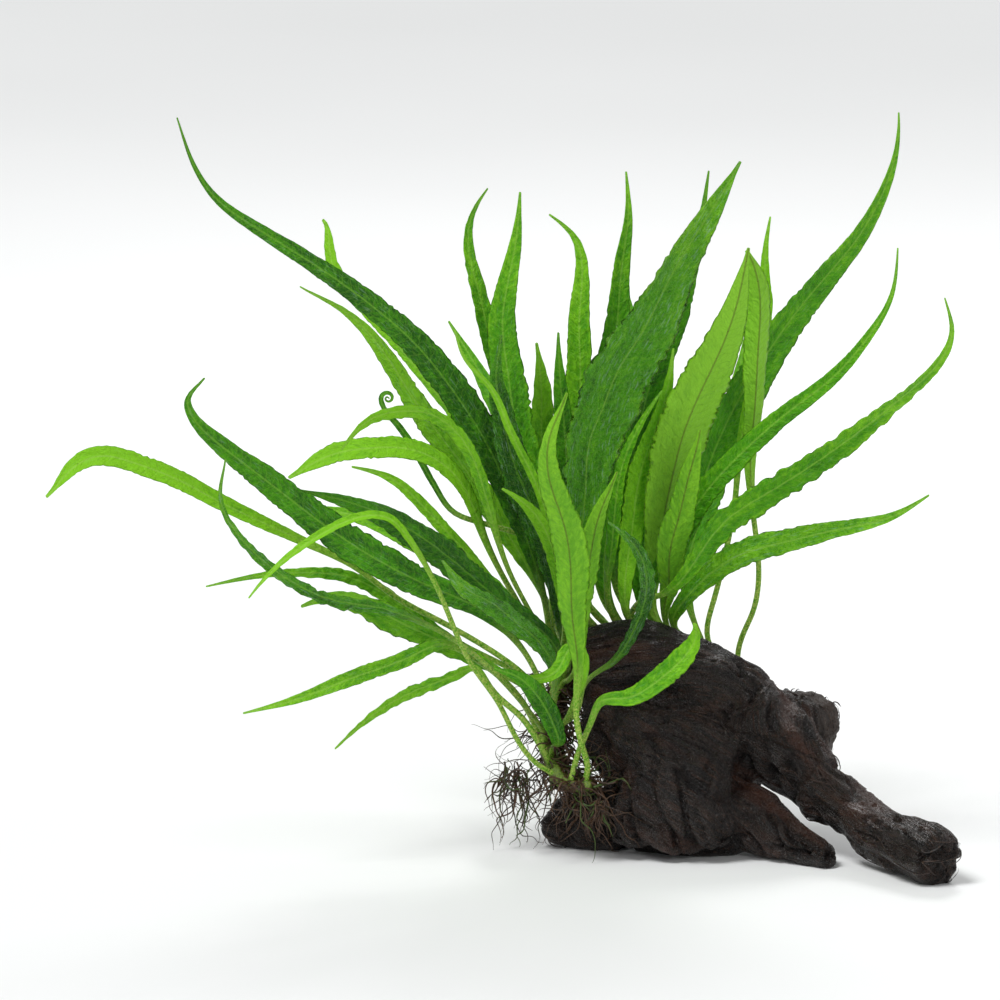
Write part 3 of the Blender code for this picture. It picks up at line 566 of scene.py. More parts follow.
def build_frond(name, material, number):
    """A frond's stalk and blade, as one closed mesh along its solid's course."""
    tone, crinkle, wet = LOOKS[name.removeprefix("frond_")]
    course, lengths, turned, wide, rise = frond_course(name)
    spot = stations(course, lengths, wide)
    index = range(len(lengths))

    def read(values):
        if values.ndim == 1:
            return np.interp(spot, index, values)
        return np.stack([np.interp(spot, index, column) for column in values.T], axis=1)

    place, along, wide, rise = read(course), read(lengths), read(wide), read(rise)
    heading = unit(read(np.gradient(course, axis=0)))
    up = read(turned)
    up = unit(up - heading * (up * heading).sum(axis=1, keepdims=True))
    total = lengths[-1]
    widest = wide.max()
    low_half = np.arange(len(wide)) < np.argmax(wide)
    fuller = (wide > 1.05 * STALK_RADIUS) & low_half
    wide = np.where(fuller, widest * (wide / widest) ** FULLNESS, wide)
    wide = blurred(wide, 2)
    seed = 11 * number + 3
    radius = STALK_RADIUS * (0.95 + 0.35 * (hashed(number, 5, 9, 1) * 0.5 + 0.5))
    flat = eased((wide - 1.12 * STALK_RADIUS) / max(min(3.0, 0.85 * widest) - STALK_RADIUS, 0.2))
    flat = np.maximum.accumulate(flat)
    leaf = wide / widest * flat

    # slow turning of the blade's end, then its frame
    share = along / total
    spots = np.stack([along / SWING_LENGTH, 0 * along, 0 * along + number], 1)
    swing = SWING * noise(spots, seed)
    swing = swing * eased((share - 0.55) / 0.45) * crinkle
    across = np.cross(heading, up)
    across, up = (
        across * np.cos(swing)[:, None] + up * np.sin(swing)[:, None],
        up * np.cos(swing)[:, None] - across * np.sin(swing)[:, None],
    )

    u = np.linspace(-1, 1, BLADE_POINTS + 1)
    u = np.sign(u) * np.abs(u) ** 1.15
    grid_u = np.tile(u, (len(along), 1))
    grid_s = np.tile(along[:, None], (1, len(u)))
    side = np.sign(grid_u)
    far = np.abs(grid_u)

    def wave(length, label):
        """Noise along the frond, different on its two sides, the same from rib to edge."""
        spots = np.stack([grid_s / length, side, grid_s * 0 + label], -1)
        return noise(spots.reshape(-1, 3), seed + label).reshape(grid_s.shape)

    # margins: slow lobes and short teeth
    lobes = LOBE_DEPTH * wave(LOBE, 1) + SCALLOP_DEPTH * crinkle * wave(SCALLOP, 2)
    teeth = np.abs(wave(TOOTH, 3)) * TOOTH_DEPTH
    margin = 1 + (lobes * (0.6 + 0.4 * crinkle) - teeth + 0.02) * leaf[:, None]
    blade_x = grid_u * wide[:, None] * (1 + (margin - 1) * far)
    # ripples that grow towards the margin, and the swell of the surface between the side veins
    lean = grid_s - far * wide[:, None] * 0.9
    phase = lean / RIPPLE + 0.9 * wave(22, 4)
    ripple = np.sin(math.tau * phase) * (0.35 + 0.65 * np.abs(wave(18, 5)) * 1.6)
    ripple = ripple * RIPPLE_HEIGHT * crinkle * far**1.6
    swell = np.sin(math.tau * (lean / SWELL + 0.6 * wave(15, 6)))
    swell = SWELL_HEIGHT * crinkle * swell * 4 * far * (1 - far)
    drift = DRIFT_HEIGHT * wave(DRIFT, 7) * far**1.5
    spots = np.stack([grid_s / CRUMPLE, blade_x / CRUMPLE_WIDTH, grid_s * 0 + number], -1)
    crumple = noise(spots.reshape(-1, 3), seed + 9).reshape(grid_s.shape)
    crumple = CRUMPLE_HEIGHT * crinkle * crumple
    sheet = rise[:, None] * far**1.25 + (ripple + swell + drift + crumple) * leaf[:, None]
    # thickness: a thin sheet with a rib under its middle and a shallow groove over it
    rib = np.exp(-((blade_x / (0.35 + 0.07 * wide[:, None])) ** 2))
    rib = rib * np.minimum(1, wide / (0.5 * widest))[:, None]
    thin = LAMINA * (1 - 0.6 * far**4) * np.minimum(1, wide / 1.2)[:, None]
    blade_top = sheet + thin / 2 + RIB_OVER * rib
    blade_under = sheet - thin / 2 - RIB_UNDER * rib
    # stalk: round, with a little groove in front
    angle = grid_u * math.pi / 2
    taper = np.minimum(1, wide / STALK_RADIUS)[:, None]
    bumpy = 1 + 0.05 * noise(np.stack([along / 5, 0 * along, 0 * along], 1), seed + 20)[:, None]
    stalk_x = radius * taper * bumpy * np.sin(angle)
    stalk_z = radius * taper * bumpy * np.cos(angle)
    blend = flat[:, None]
    x = stalk_x + (blade_x - stalk_x) * blend
    top = stalk_z * (1 - 0.12 * np.exp(-((grid_u / 0.3) ** 2)))
    top = top + (blade_top - top) * blend
    under = -stalk_z + (blade_under + stalk_z) * blend

    base = place[:, None, :]
    upper = base + across[:, None, :] * x[..., None] + up[:, None, :] * top[..., None]
    lower = base + across[:, None, :] * x[..., None] + up[:, None, :] * under[..., None]
    edge = (upper[:, [0, -1]] + lower[:, [0, -1]]) / 2
    upper[:, [0, -1]] = edge
    around = np.concatenate([upper, lower[:, -2:0:-1]], axis=1)
    rings, points = around.shape[:2]
    far_end = place[-1] + heading[-1] * TIP_REACH
    vertices = np.vstack([around.reshape(-1, 3), place[0], far_end])

    def wrapped(values, under=None):
        """A value for each vertex, from a grid of rings by places across."""
        values = np.broadcast_to(values, grid_u.shape)
        under = values if under is None else np.broadcast_to(under, grid_u.shape)
        full = np.concatenate([values, under[:, -2:0:-1]], axis=1).reshape(-1)
        return np.append(full, [full[:points].mean(), full[-points:].mean()])

    over = wrapped(np.ones(1), np.zeros(1))
    place_layers = wrapped(blade_x), wrapped(grid_s), wrapped(wide[:, None])
    part_layers = wrapped(flat[:, None]), over, wrapped(share[:, None])
    look_layers = [wrapped(np.full(1, look)) for look in (tone, wet, number * 1.7)]
    attributes = {
        "leaf_place": np.stack(place_layers, axis=1),
        "leaf_part": np.stack(part_layers, axis=1),
        "leaf_look": np.stack(look_layers, axis=1),
    }
    frond = add_mesh(name + "_leaf", vertices, tube_faces(rings, points), material, attributes)
    turn_outward(frond)
    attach(frond, "root")
    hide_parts(name)


def leaf_material():
    g = Graph("frond_leaf")
    x, s, half = g.split(g.attribute("leaf_place"))
    blade, over, share = g.split(g.attribute("leaf_part"))
    tone, wet, number = g.split(g.attribute("leaf_look"))
    far = g.maths("DIVIDE", g.maths("ABSOLUTE", x), g.maths("MAXIMUM", half, 0.4))
    spot = g.join(x, s, number)
    # places measured along the side veins, which lean towards the tip
    lean = g.maths("SUBTRACT", s, g.times(g.maths("ABSOLUTE", x), 0.75))
    lean = g.plus(lean, g.times(g.noise(g.stretched(spot, (0.3, 0.2, 1.0)), detail=1), 3.0))
    # tones
    cloud = g.noise(g.stretched(spot, (0.22, 0.05, 1.0)), detail=3)
    grain = g.noise(g.stretched(spot, (1.9, 1.1, 1.0)), detail=3, roughness=0.65)
    light = g.plus(tone, g.times(g.plus(cloud, -0.5), 0.85))
    light = g.plus(light, g.times(g.plus(grain, -0.5), 0.50))
    quilt = g.noise(g.stretched(g.join(x, lean, number), (0.55, 0.42, 1.0)), detail=2)
    light = g.plus(light, g.times(g.plus(quilt, -0.5), 0.75))
    light = g.plus(light, g.between(far, 0.7, 1.0, 0.0, 0.16))
    light = g.plus(light, g.between(share, 0.6, 1.0, 0.04, 0.26))
    low = g.mix(g.between(light, 0.0, 0.5), DARK, MIDDLE)
    green = g.mix(g.between(light, 0.42, 1.0), low, BRIGHT)
    pale = g.mix(g.between(tone, 0.3, 0.9, 0.10, 0.55), green, UNDER)
    green = g.mix(over, pale, green)
    # side veins, with a finer net between them
    stripe = g.maths("PINGPONG", lean, 2.1)
    vein = g.between(stripe, 0.0, 0.34, 1.0, 0.0)
    net = g.cells(g.stretched(g.join(x, lean, number), (0.62, 0.42, 1.0)))
    netted = g.between(net, 0.0, 0.09, 1.0, 0.0)
    inner = g.between(far, 0.75, 1.0, 1.0, 0.25)
    lines = g.maths("MAXIMUM", g.times(vein, 0.8), g.times(netted, 0.55))
    lines = g.times(g.times(lines, inner), g.times(blade, 0.26))
    below = g.maths("SUBTRACT", 1.0, over)
    green = g.mix(lines, green, g.mix(below, VEIN, UNDER_VEIN))
    rib = g.between(g.maths("ABSOLUTE", x), 0.12, 0.60, 1.0, 0.0)
    rib_tone = g.mix(g.between(tone, 0.0, 0.8), g.mix(0.45, MIDDLE, VEIN), VEIN)
    rib_tone = g.mix(below, rib_tone, UNDER_RIB)
    green = g.mix(g.times(g.times(rib, blade), 0.55), green, rib_tone)
    # the stalk is yellower, with dark specks
    stalk = g.mix(g.between(grain, 0.3, 0.7), STALK, MIDDLE)
    dots = g.cells(g.stretched(spot, (0.7, 0.7, 1.0)), feature="F1")
    dots = g.between(dots, 0.10, 0.22, 1.0, 0.0)
    rare = g.between(g.noise(g.stretched(spot, (0.35, 0.35, 1.0)), detail=1), 0.5, 0.62)
    stalk = g.mix(g.times(g.times(dots, rare), 0.85), stalk, SPECK)
    colour = g.mix(blade, stalk, green)
    under_dots = g.times(g.times(dots, below), rib)
    colour = g.mix(g.times(under_dots, 0.8), colour, SPECK)
    # relief and gloss
    wrinkle = g.noise(g.stretched(spot, (1.5, 0.45, 1.0)), detail=4, roughness=0.6)
    height = g.plus(g.times(lines, -0.9), g.times(wrinkle, g.plus(g.times(wet, 2.4), 0.7)))
    height = g.plus(height, g.times(quilt, 2.0))
    normal = g.bump(height, 0.85, 0.0007)
    gloss = g.plus(g.times(wet, -0.16), g.between(grain, 0.3, 0.7, 0.34, 0.50))
    gloss = g.plus(gloss, g.times(below, 0.10))
    shine = g.plus(g.times(wet, 0.20), 0.12)
    # painted highlight: pale streaks of wet sheen along the ripples of the wet blades, mixed into
    # the colour of their upper side
    sheen_streak = g.noise(g.stretched(spot, (1.7, 0.16, 1.0)), detail=3, roughness=0.55)
    sheen_streak = g.times(g.between(sheen_streak, 0.56, 0.70), g.times(wet, blade))
    sheen_streak = g.times(sheen_streak, over)
    colour = g.mix(g.times(sheen_streak, 0.50), colour, WET_SHEEN_HIGHLIGHT)
    return g.finish(colour, gloss, normal, Specular_IOR_Level=shine)


def build_fronds():
    material = leaf_material()
    for number, name in enumerate(sorted(n for n in NODES if n.startswith("frond_"))):
        build_frond(name, material, number)


# -------------------- driftwood
WOOD = ("driftwood_upper_log", "driftwood_trunk", "driftwood_long_limb",
        "driftwood_short_limb", "driftwood_back_knob", "driftwood_foot")
SWOLLEN = 0.28  # mm, closes the saw cuts between the solids
WOOD_VOXEL = 0.00085
WOOD_SMOOTHING = 26
LOG_NODES = (WOOD.index("driftwood_upper_log"), WOOD.index("driftwood_long_limb"))
KNOB_NODE = WOOD.index("driftwood_back_knob")
# The grain's course along the log and down the block: a node and shares of the way through it.
LOG_COURSE = (
    ("driftwood_upper_log", 0, 0.6, 0.7), ("driftwood_upper_log", 0.35, 0.6, 0.75),
    ("driftwood_upper_log", 0.75, 0.5, 0.55), ("driftwood_long_limb", 0.0, 0.95, 1.0),
    ("driftwood_long_limb", 0.45, 0.6, 0.45), ("driftwood_long_limb", 1.0, 0.0, 0.15),
)
BLOCK_COURSE = (
    ("driftwood_trunk", 0.05, 0.4, 0.95), ("driftwood_trunk", 0.45, 0.3, 0.55),
    ("driftwood_trunk", 0.8, 0.2, 0.2), ("driftwood_short_limb", 1.0, 0.0, 0.1),
)
BORDER_STEPS = 14  # how often the borders between the wood's regions are softened
GRAIN_PLACES = 160
# Marks of the worn grain: mm along it and across it from one to the next, and their height.
BEND, BEND_HEIGHT = (30, 12, 12), 2.5
BROAD, BROAD_HEIGHT = (55, 16, 16), 1.6
STRAND, STRAND_HEIGHT = (42, 5.5, 5.5), 1.1
RIDGE, RIDGE_HEIGHT = (46, 8.5, 8.5), 2.4
SPLIT, SPLIT_DEPTH = (36, 6.5, 6.5), 2.3
SPLIT_PATCH = (26, 11, 11)
PIT, PIT_DEPTH = (3.6, 2.6, 2.6), 0.5
CRUMB, CRUMB_HEIGHT = 7, 1.2
FOLD_WIDTH, FOLD_LENGTH, FOLD_LEAN, FOLD_DEPTH = 12, 42, 0.25, 3.4
FOLD_LOBE_HEIGHT = 3.2
GROUND_RISE = 5  # mm over which the relief fades out towards the flat underside
BARK_BLACK, BARK_BROWN = (0.0025, 0.0015, 0.0012), (0.016, 0.0085, 0.0055)
RUST, PALE_SPECK = (0.048, 0.014, 0.005), (0.100, 0.068, 0.052)
GREY_DARK, GREY_PALE = (0.028, 0.019, 0.015), (0.12, 0.090, 0.072)
# the first colour on the next line is painted shade for the splits and the folds' grooves
SPLIT_SHADE, LINE_BROWN = (0.004, 0.003, 0.003), (0.052, 0.024, 0.013)
LINE_BLACK = (0.002, 0.0012, 0.001)


def at(node, x, y, z):
    """The place these shares of the way through a node's box, in mm."""
    low, high = node_box(node)
    return low + (high - low) * np.array([x, y, z])


def grown_skin(nodes, voxel, smoothing):
    """The solids grown together, as one finely divided skin: (places in mm, normals, faces)."""
    work = bmesh.new()
    for name in nodes:
        work.from_mesh(NODES[name].data)
    bmesh.ops.remove_doubles(work, verts=work.verts, dist=1e-6)
    work.normal_update()
    for vertex in work.verts:
        vertex.co += vertex.normal * SWOLLEN * MM
    mesh = bpy.data.meshes.new("wood_skin")
    work.to_mesh(mesh)
    work.free()
    thing = bpy.data.objects.new("wood_skin", mesh)
    show(thing)
    remesh = thing.modifiers.new("remesh", "REMESH")
    remesh.mode = "VOXEL"
    remesh.voxel_size = voxel
    smooth = thing.modifiers.new("smooth", "SMOOTH")
    smooth.iterations = smoothing
    bpy.context.view_layer.update()
    graph = bpy.context.evaluated_depsgraph_get()
    skin = bpy.data.meshes.new_from_object(thing.evaluated_get(graph))
    places = np.empty(len(skin.vertices) * 3)
    skin.vertices.foreach_get("co", places)
    normals = np.empty(len(skin.vertices) * 3)
    skin.vertex_normals.foreach_get("vector", normals)
    faces = [tuple(p.vertices) for p in skin.polygons]
    bpy.data.objects.remove(thing)
    bpy.data.meshes.remove(mesh)
    bpy.data.meshes.remove(skin)
    return places.reshape(-1, 3) / MM, normals.reshape(-1, 3), faces


def grain_place(places, course):
    """For each place: (mm along the course, two mm across it)."""
    knots = run_lengths(course)
    fine = np.linspace(0, knots[-1], GRAIN_PLACES)
    line = spline(knots, np.array(course), fine)
    heading = unit(np.gradient(line, axis=0))
    best = np.full(len(places), np.inf)
    nearest = np.zeros(len(places), int)
    for i, spot in enumerate(line):
        away = ((places - spot) ** 2).sum(axis=1)
        closer = away < best
        best[closer] = away[closer]
        nearest[closer] = i
    offset = places - line[nearest]
    ahead = (offset * heading[nearest]).sum(axis=1)
    offset -= heading[nearest] * ahead[:, None]
    side = unit(np.cross(heading, [0.0, 0.0, 1.0]))[nearest]
    rise = np.cross(side, heading[nearest])
    return np.stack(
        [fine[nearest] + ahead, (offset * side).sum(axis=1), (offset * rise).sum(axis=1)], axis=1
    )


def relief(grain, seed):
    """Height in mm of the worn grain, strands along it with splits between them; the splits."""
    sideways = [BEND_HEIGHT * noise(grain / BEND, seed + k) for k in (1, 2)]
    bent = grain + np.stack([np.zeros(len(grain))] + sideways, axis=1)
    strands = rough(bent / STRAND, seed + 3)
    broad = noise(grain / BROAD, seed + 4)
    split = 1 - eased(np.abs(noise(bent / SPLIT, seed + 5)) / 0.16)
    split = split * eased((noise(grain / SPLIT_PATCH, seed + 6) + 0.05) / 0.35)
    pitted = eased((noise(grain / PIT, seed + 8) - 0.35) / 0.3)
    ridge = (1 - np.abs(noise(bent / RIDGE, seed + 9))) ** 2
    height = BROAD_HEIGHT * broad + STRAND_HEIGHT * strands + RIDGE_HEIGHT * (ridge - 0.65)
    return height - SPLIT_DEPTH * split - PIT_DEPTH * pitted, split


def block_folds(places, normals):
    """Height in mm of the upright folds on the front of the block, and the folds."""
    low, high = node_box("driftwood_trunk")
    x, _, z = places.T
    rise = (z - low[2]) / (high[2] - low[2])
    spots = np.stack([(x + FOLD_LEAN * z) / FOLD_WIDTH, z / FOLD_LENGTH, z * 0], 1)
    fold = 1 - eased(np.abs(noise(spots, 210)) / 0.20)
    lobe = np.abs(noise(spots * 1.3, 230)) - 0.3
    front = eased(-normals[:, 1] * 1.6) * eased((0.80 - rise) / 0.4)
    return front * (FOLD_LOBE_HEIGHT * lobe - FOLD_DEPTH * fold), fold * front


def wood_regions(places, faces):
    """How far each place belongs to the log and to the crumbly knob, with soft borders."""
    total = sum(len(NODES[name].data.vertices) for name in WOOD)
    tree = KDTree(total)
    owners = []
    for number, name in enumerate(WOOD):
        for vertex in NODES[name].data.vertices:
            tree.insert(vertex.co / MM, len(owners))
            owners.append(number)
    tree.balance()
    owner = np.array([owners[tree.find(p)[1]] for p in places])
    is_log = np.isin(owner, LOG_NODES).astype(float)
    is_knob = (owner == KNOB_NODE).astype(float)
    ends = np.array([(f[i - 1], f[i]) for f in faces for i in range(len(f))])
    count = np.bincount(ends[:, 0], minlength=len(places)) + 1.0
    for _ in range(BORDER_STEPS):
        for region in (is_log, is_knob):
            gathered = np.bincount(ends[:, 0], weights=region[ends[:, 1]], minlength=len(places))
            region[:] = (region + gathered) / count
    return is_log, is_knob


def build_wood(material):
    places, normals, faces = grown_skin(WOOD, WOOD_VOXEL, WOOD_SMOOTHING)
    log_grain = grain_place(places, [at(*stop) for stop in LOG_COURSE])
    block_grain = grain_place(places, [at(*stop) for stop in BLOCK_COURSE])
    is_log, is_knob = wood_regions(places, faces)
    log_height, log_split = relief(log_grain, 40)
    block_height, block_split = relief(block_grain, 90)
    crumbly = CRUMB_HEIGHT * rough(places / CRUMB, 140)
    height = block_height + (log_height - block_height) * is_log
    height = height + (crumbly - height) * is_knob
    split = block_split + (log_split - block_split) * is_log
    grain = block_grain + (log_grain - block_grain) * np.round(is_log)[:, None]
    block = (1 - is_log) * (1 - is_knob)
    fold_height, fold = block_folds(places, normals)
    height = height + fold_height * block
    # the folds' grooves join the splits, which the colour darkens as painted shade
    split = np.maximum(split, fold * block)
    ground = eased(places[:, 2] / GROUND_RISE)
    places = places + normals * (height * ground)[:, None]
    places[:, 2] = np.maximum(places[:, 2], 0)
    attributes = {
        "wood_grain": grain,
        "wood_kind": np.stack([is_knob, split, is_log], axis=1),
    }
    wood = add_mesh("driftwood", places, faces, material, attributes)
    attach(wood, "root")
    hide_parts(*WOOD)
    return wood


def wood_material():
    g = Graph("wet_driftwood")
    grain = g.attribute("wood_grain")
    knob, split, _ = g.split(g.attribute("wood_kind"))
    strands = g.noise(g.stretched(grain, (0.045, 0.55, 0.55)), detail=5, roughness=0.6)
    fine = g.noise(g.stretched(grain, (0.22, 1.6, 1.6)), detail=4, roughness=0.7)
    speck = g.noise(g.stretched(grain, (1.0, 1.4, 1.4)), detail=3, roughness=0.7)
    lines = g.noise(g.stretched(grain, (0.03, 1.15, 1.15)), detail=4, roughness=0.65)
    rust = g.noise(g.stretched(grain, (0.02, 0.07, 0.07)), detail=3)
    colour = g.mix(g.between(strands, 0.35, 0.68), BARK_BLACK, BARK_BROWN)
    colour = g.mix(g.between(rust, 0.5, 0.72, 0.0, 0.7), colour, RUST)
    colour = g.mix(g.between(speck, 0.61, 0.72, 0.0, 0.38), colour, PALE_SPECK)
    grey = g.mix(g.between(fine, 0.3, 0.7), GREY_DARK, GREY_PALE)
    colour = g.mix(g.times(knob, 0.85), colour, grey)
    # painted shade: the splits and the folds' grooves darkened towards near black
    colour = g.mix(g.times(split, 0.8), colour, SPLIT_SHADE)
    colour = g.mix(g.between(lines, 0.52, 0.68, 0.0, 0.65), colour, LINE_BROWN)
    colour = g.mix(g.between(lines, 0.34, 0.46, 0.6, 0.0), colour, LINE_BLACK)
    height = g.plus(g.times(strands, 0.9), g.times(fine, 0.6))
    height = g.plus(height, g.times(lines, 1.3))
    height = g.plus(height, g.times(speck, 0.8))
    normal = g.bump(height, 0.9, 0.0013)
    gloss = g.between(speck, 0.3, 0.7, 0.16, 0.40)
    gloss = g.plus(gloss, g.times(knob, 0.3))
    return g.finish(colour, gloss, normal, Specular_IOR_Level=0.42)


# -------------------- rhizome
RHIZOME_VOXEL = 0.00042
RHIZOME_SMOOTHING = 8
KNOB_REACH = 4.2  # mm round a frond's foot that the rhizome swells
KNOB_RISE = 1.5
LUMP, LUMP_HEIGHT = 3.2, 0.55
SCALE, SCALE_DEPTH = (1.5, 1.5, 2.2), 0.35
GREEN_DARK, GREEN_PALE = (0.055, 0.115, 0.008), (0.20, 0.30, 0.035)
BROWN_DARK, BROWN_PALE = (0.030, 0.013, 0.005), (0.13, 0.060, 0.020)


def frond_feet():
    """Where each frond leaves the rhizome, in mm."""
    low, high = node_box("rhizome")
    feet = []
    for name in NODES:
        if name.startswith("frond_"):
            places = node_places(name)
            away = np.linalg.norm(places - np.clip(places, low, high), axis=1)
            feet.append(places[away < away.min() + 0.5].mean(axis=0))
    return np.array(feet)


def build_rhizome():
    places, normals, faces = grown_skin(("rhizome",), RHIZOME_VOXEL, RHIZOME_SMOOTHING)
    feet = frond_feet()
    gap = np.linalg.norm(places[:, None] - feet[None], axis=2).min(axis=1)
    knob = np.exp(-((gap / KNOB_REACH) ** 2))
    lumps = rough(places / LUMP, 300)
    scales = np.abs(noise(places / SCALE, 320))
    height = KNOB_RISE * knob + LUMP_HEIGHT * lumps - SCALE_DEPTH * scales + 0.1
    places = places + normals * height[:, None]
    piece = add_mesh("rhizome_skin", places, faces, rhizome_material(), {"knob": knob})
    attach(piece, "root")
    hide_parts("rhizome")


def rhizome_material():
    g = Graph("rhizome_skin")
    place = g.place_mm()
    patches = g.noise(g.stretched(place, (0.25, 0.25, 0.25)), detail=4, roughness=0.6)
    fine = g.noise(g.stretched(place, (1.6, 1.6, 0.9)), detail=4, roughness=0.7)
    green = g.mix(g.between(fine, 0.3, 0.7), GREEN_DARK, GREEN_PALE)
    brown = g.mix(g.between(fine, 0.35, 0.7), BROWN_DARK, BROWN_PALE)
    knob = g.attribute("knob", "Fac")
    bare = g.between(g.plus(patches, g.times(knob, 0.16)), 0.46, 0.60)
    height = g.plus(g.times(fine, 0.8), patches)
    colour = g.mix(bare, brown, green)
    gloss = g.between(fine, 0.3, 0.7, 0.35, 0.6)
    return g.finish(colour, gloss, g.bump(height, 0.8, 0.0006))


# -------------------- roots and fibres
ROOT_SIDES = 5
ROOT_STEP = 0.9  # mm between the places along a root
CURL_LENGTH = 6  # mm along a root from one curl to the next
CLING_REACH = 5.0  # mm from the wood within which a root turns along it
LEFT_SHARE = 0.45  # share of the rhizome's width that climbs the wood's left end
LEFT_ROOTS, BACK_ROOTS, MAT_ROOTS, HAIRS = 150, 70, 420, 420
TANGLES = (("roots_left", 52), ("roots_front", 40))
TANGLE_FROM, TANGLE_TO = (0.15, 0.1, 0.7), (0.95, 0.9, 1)  # shares of the tangle's box
TANGLE_ROOM = 6  # mm that a tangle's roots may pass its box
RING_RADIUS, RING_WIDTH = 4.0, 0.42
HAIR_STEPS = (0, 0.35, 0.7, 1)
ROOT_DARK, ROOT_BROWN = (0.008, 0.004, 0.002), (0.060, 0.024, 0.008)
ROOT_PALE, ROOT_GREEN = (0.12, 0.060, 0.022), (0.045, 0.080, 0.010)
FIBRE_DARK, FIBRE_BROWN = (0.004, 0.003, 0.002), (0.030, 0.013, 0.007)
FIBRE_PALE = (0.070, 0.038, 0.020)
# Strands lifting off each part of the wood: how many, which way they run, and their length.
FIBRES = (
    ("driftwood_back_knob", 90, (0.4, 0.2, 0.5), 5),
    ("driftwood_long_limb", 60, (1, -0.9, -0.4), 20),
    ("driftwood_trunk", 30, (0.5, -0.2, -0.9), 12),
    ("driftwood_upper_log", 36, (1, -0.1, -0.1), 18),
    ("driftwood_foot", 60, (0.3, -0.6, -0.5), 9),
)


def surface_finder(piece):
    """A function from a place in mm to the nearest place on the piece and its normal."""
    tree = KDTree(len(piece.data.vertices))
    for i, vertex in enumerate(piece.data.vertices):
        tree.insert(vertex.co / MM, i)
    tree.balance()

    def nearest(place):
        spot, i, away = tree.find(place)
        return np.array(spot), np.array(piece.data.vertices[i].normal), away

    return nearest


def wander(start, heading, length, nearest, seed, sag=0.03, curl=0.35, cling=0.35):
    """Places of a root that sags and curls, and runs along the wood once it touches it."""
    place, heading = np.array(start, float), unit(np.array(heading, float))
    course = [place.copy()]
    for i in range(max(int(length / ROOT_STEP), 3)):
        along = i * ROOT_STEP / CURL_LENGTH
        spots = np.array([[along + 3.3 * axis, seed * 1.7, axis] for axis in range(3)])
        heading = unit(heading + curl * noise(spots, seed) - np.array([0, 0, sag]))
        spot, normal, away = nearest(place)
        if away < CLING_REACH:
            out = (place - spot) @ normal
            heading = unit(heading - normal * (heading @ normal) * 0.6 - normal * 0.05 * out)
            if out < cling:
                place = place + normal * (cling - out)
        place = place + heading * ROOT_STEP
        place[2] = max(place[2], cling)
        course.append(place.copy())
    return np.array(course)


def bundle(name, courses, widths, material):
    """Many thin round roots as one mesh, each tapering to a point."""
    vertices, faces, tints = [], [], []
    turns = np.arange(ROOT_SIDES) * math.tau / ROOT_SIDES
    for number, (course, width) in enumerate(zip(courses, widths)):
        heading = unit(np.gradient(course, axis=0))
        side = unit(np.cross(heading, [0.31, 0.22, 0.92]))
        rise = np.cross(heading, side)
        share = np.linspace(0, 1, len(course))
        uneven = 1 + 0.25 * noise(np.stack([share * 9, share * 0, share * 0 + number], 1), 5)
        radius = width * (1 - 0.75 * share**2) * uneven
        ring = side[:, None] * np.cos(turns)[:, None] + rise[:, None] * np.sin(turns)[:, None]
        skin = course[:, None] + ring * radius[:, None, None]
        first = sum(len(v) for v in vertices)
        vertices.append(np.vstack([skin.reshape(-1, 3), course[0], course[-1]]))
        tints.append(np.full(len(vertices[-1]), hashed(number, 3, 8, 2) * 0.5 + 0.5))
        last = first + (len(course) - 1) * ROOT_SIDES
        ends = first + len(course) * ROOT_SIDES
        for j in range(ROOT_SIDES):
            k = (j + 1) % ROOT_SIDES
            faces.append((ends, first + k, first + j))
            faces.append((ends + 1, last + j, last + k))
            for i in range(first, last, ROOT_SIDES):
                faces.append((i + j, i + k, i + ROOT_SIDES + k, i + ROOT_SIDES + j))
    piece = add_mesh(name, np.vstack(vertices), faces, material, {"tint": np.concatenate(tints)})
    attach(piece, "root")
    return piece


def root_material():
    g = Graph("wiry_roots")
    place = g.place_mm()
    tint = g.attribute("tint", "Fac")
    fine = g.noise(g.stretched(place, (1.2, 1.2, 1.2)), detail=3, roughness=0.6)
    dark = g.mix(tint, ROOT_DARK, ROOT_BROWN)
    colour = g.mix(g.between(fine, 0.45, 0.75), dark, ROOT_PALE)
    colour = g.mix(g.between(tint, 0.84, 0.88), colour, ROOT_GREEN)
    return g.finish(colour, g.between(fine, 0.3, 0.7, 0.35, 0.65), g.bump(fine, 0.5, 0.0002))


def tangle(box_low, box_high, nearest, random, seed):
    """One root of the tangles that hang from the rhizome's left end, kept near its box."""
    start = box_low + (box_high - box_low) * random.uniform(TANGLE_FROM, TANGLE_TO)
    heading = random.normal(size=3) * (0.7, 0.7, 0.4) + (0, 0, -0.9)
    length = random.uniform(0.5, 1.25) * (box_high - box_low)[2]
    course = wander(start, heading, length, nearest, seed, sag=0.10, curl=0.55)
    low, high = box_low - TANGLE_ROOM, box_high + TANGLE_ROOM
    inside = np.all((course > low) & (course < high), axis=1)
    stop = len(course) if inside.all() else int(np.argmin(inside))
    return course[:max(stop, 4)]


def loose_ring():
    """A root that comes loose and closes into a ring at the left."""
    turn = np.linspace(0.4, math.tau * 1.05, 40)
    across = RING_RADIUS * np.cos(turn)
    forward = -0.9 - 0.5 * np.sin(turn * 2)
    rise = RING_RADIUS * np.sin(turn)
    return at("roots_left", 0.62, 0.05, 0.80) + np.stack([across, forward, rise], 1)


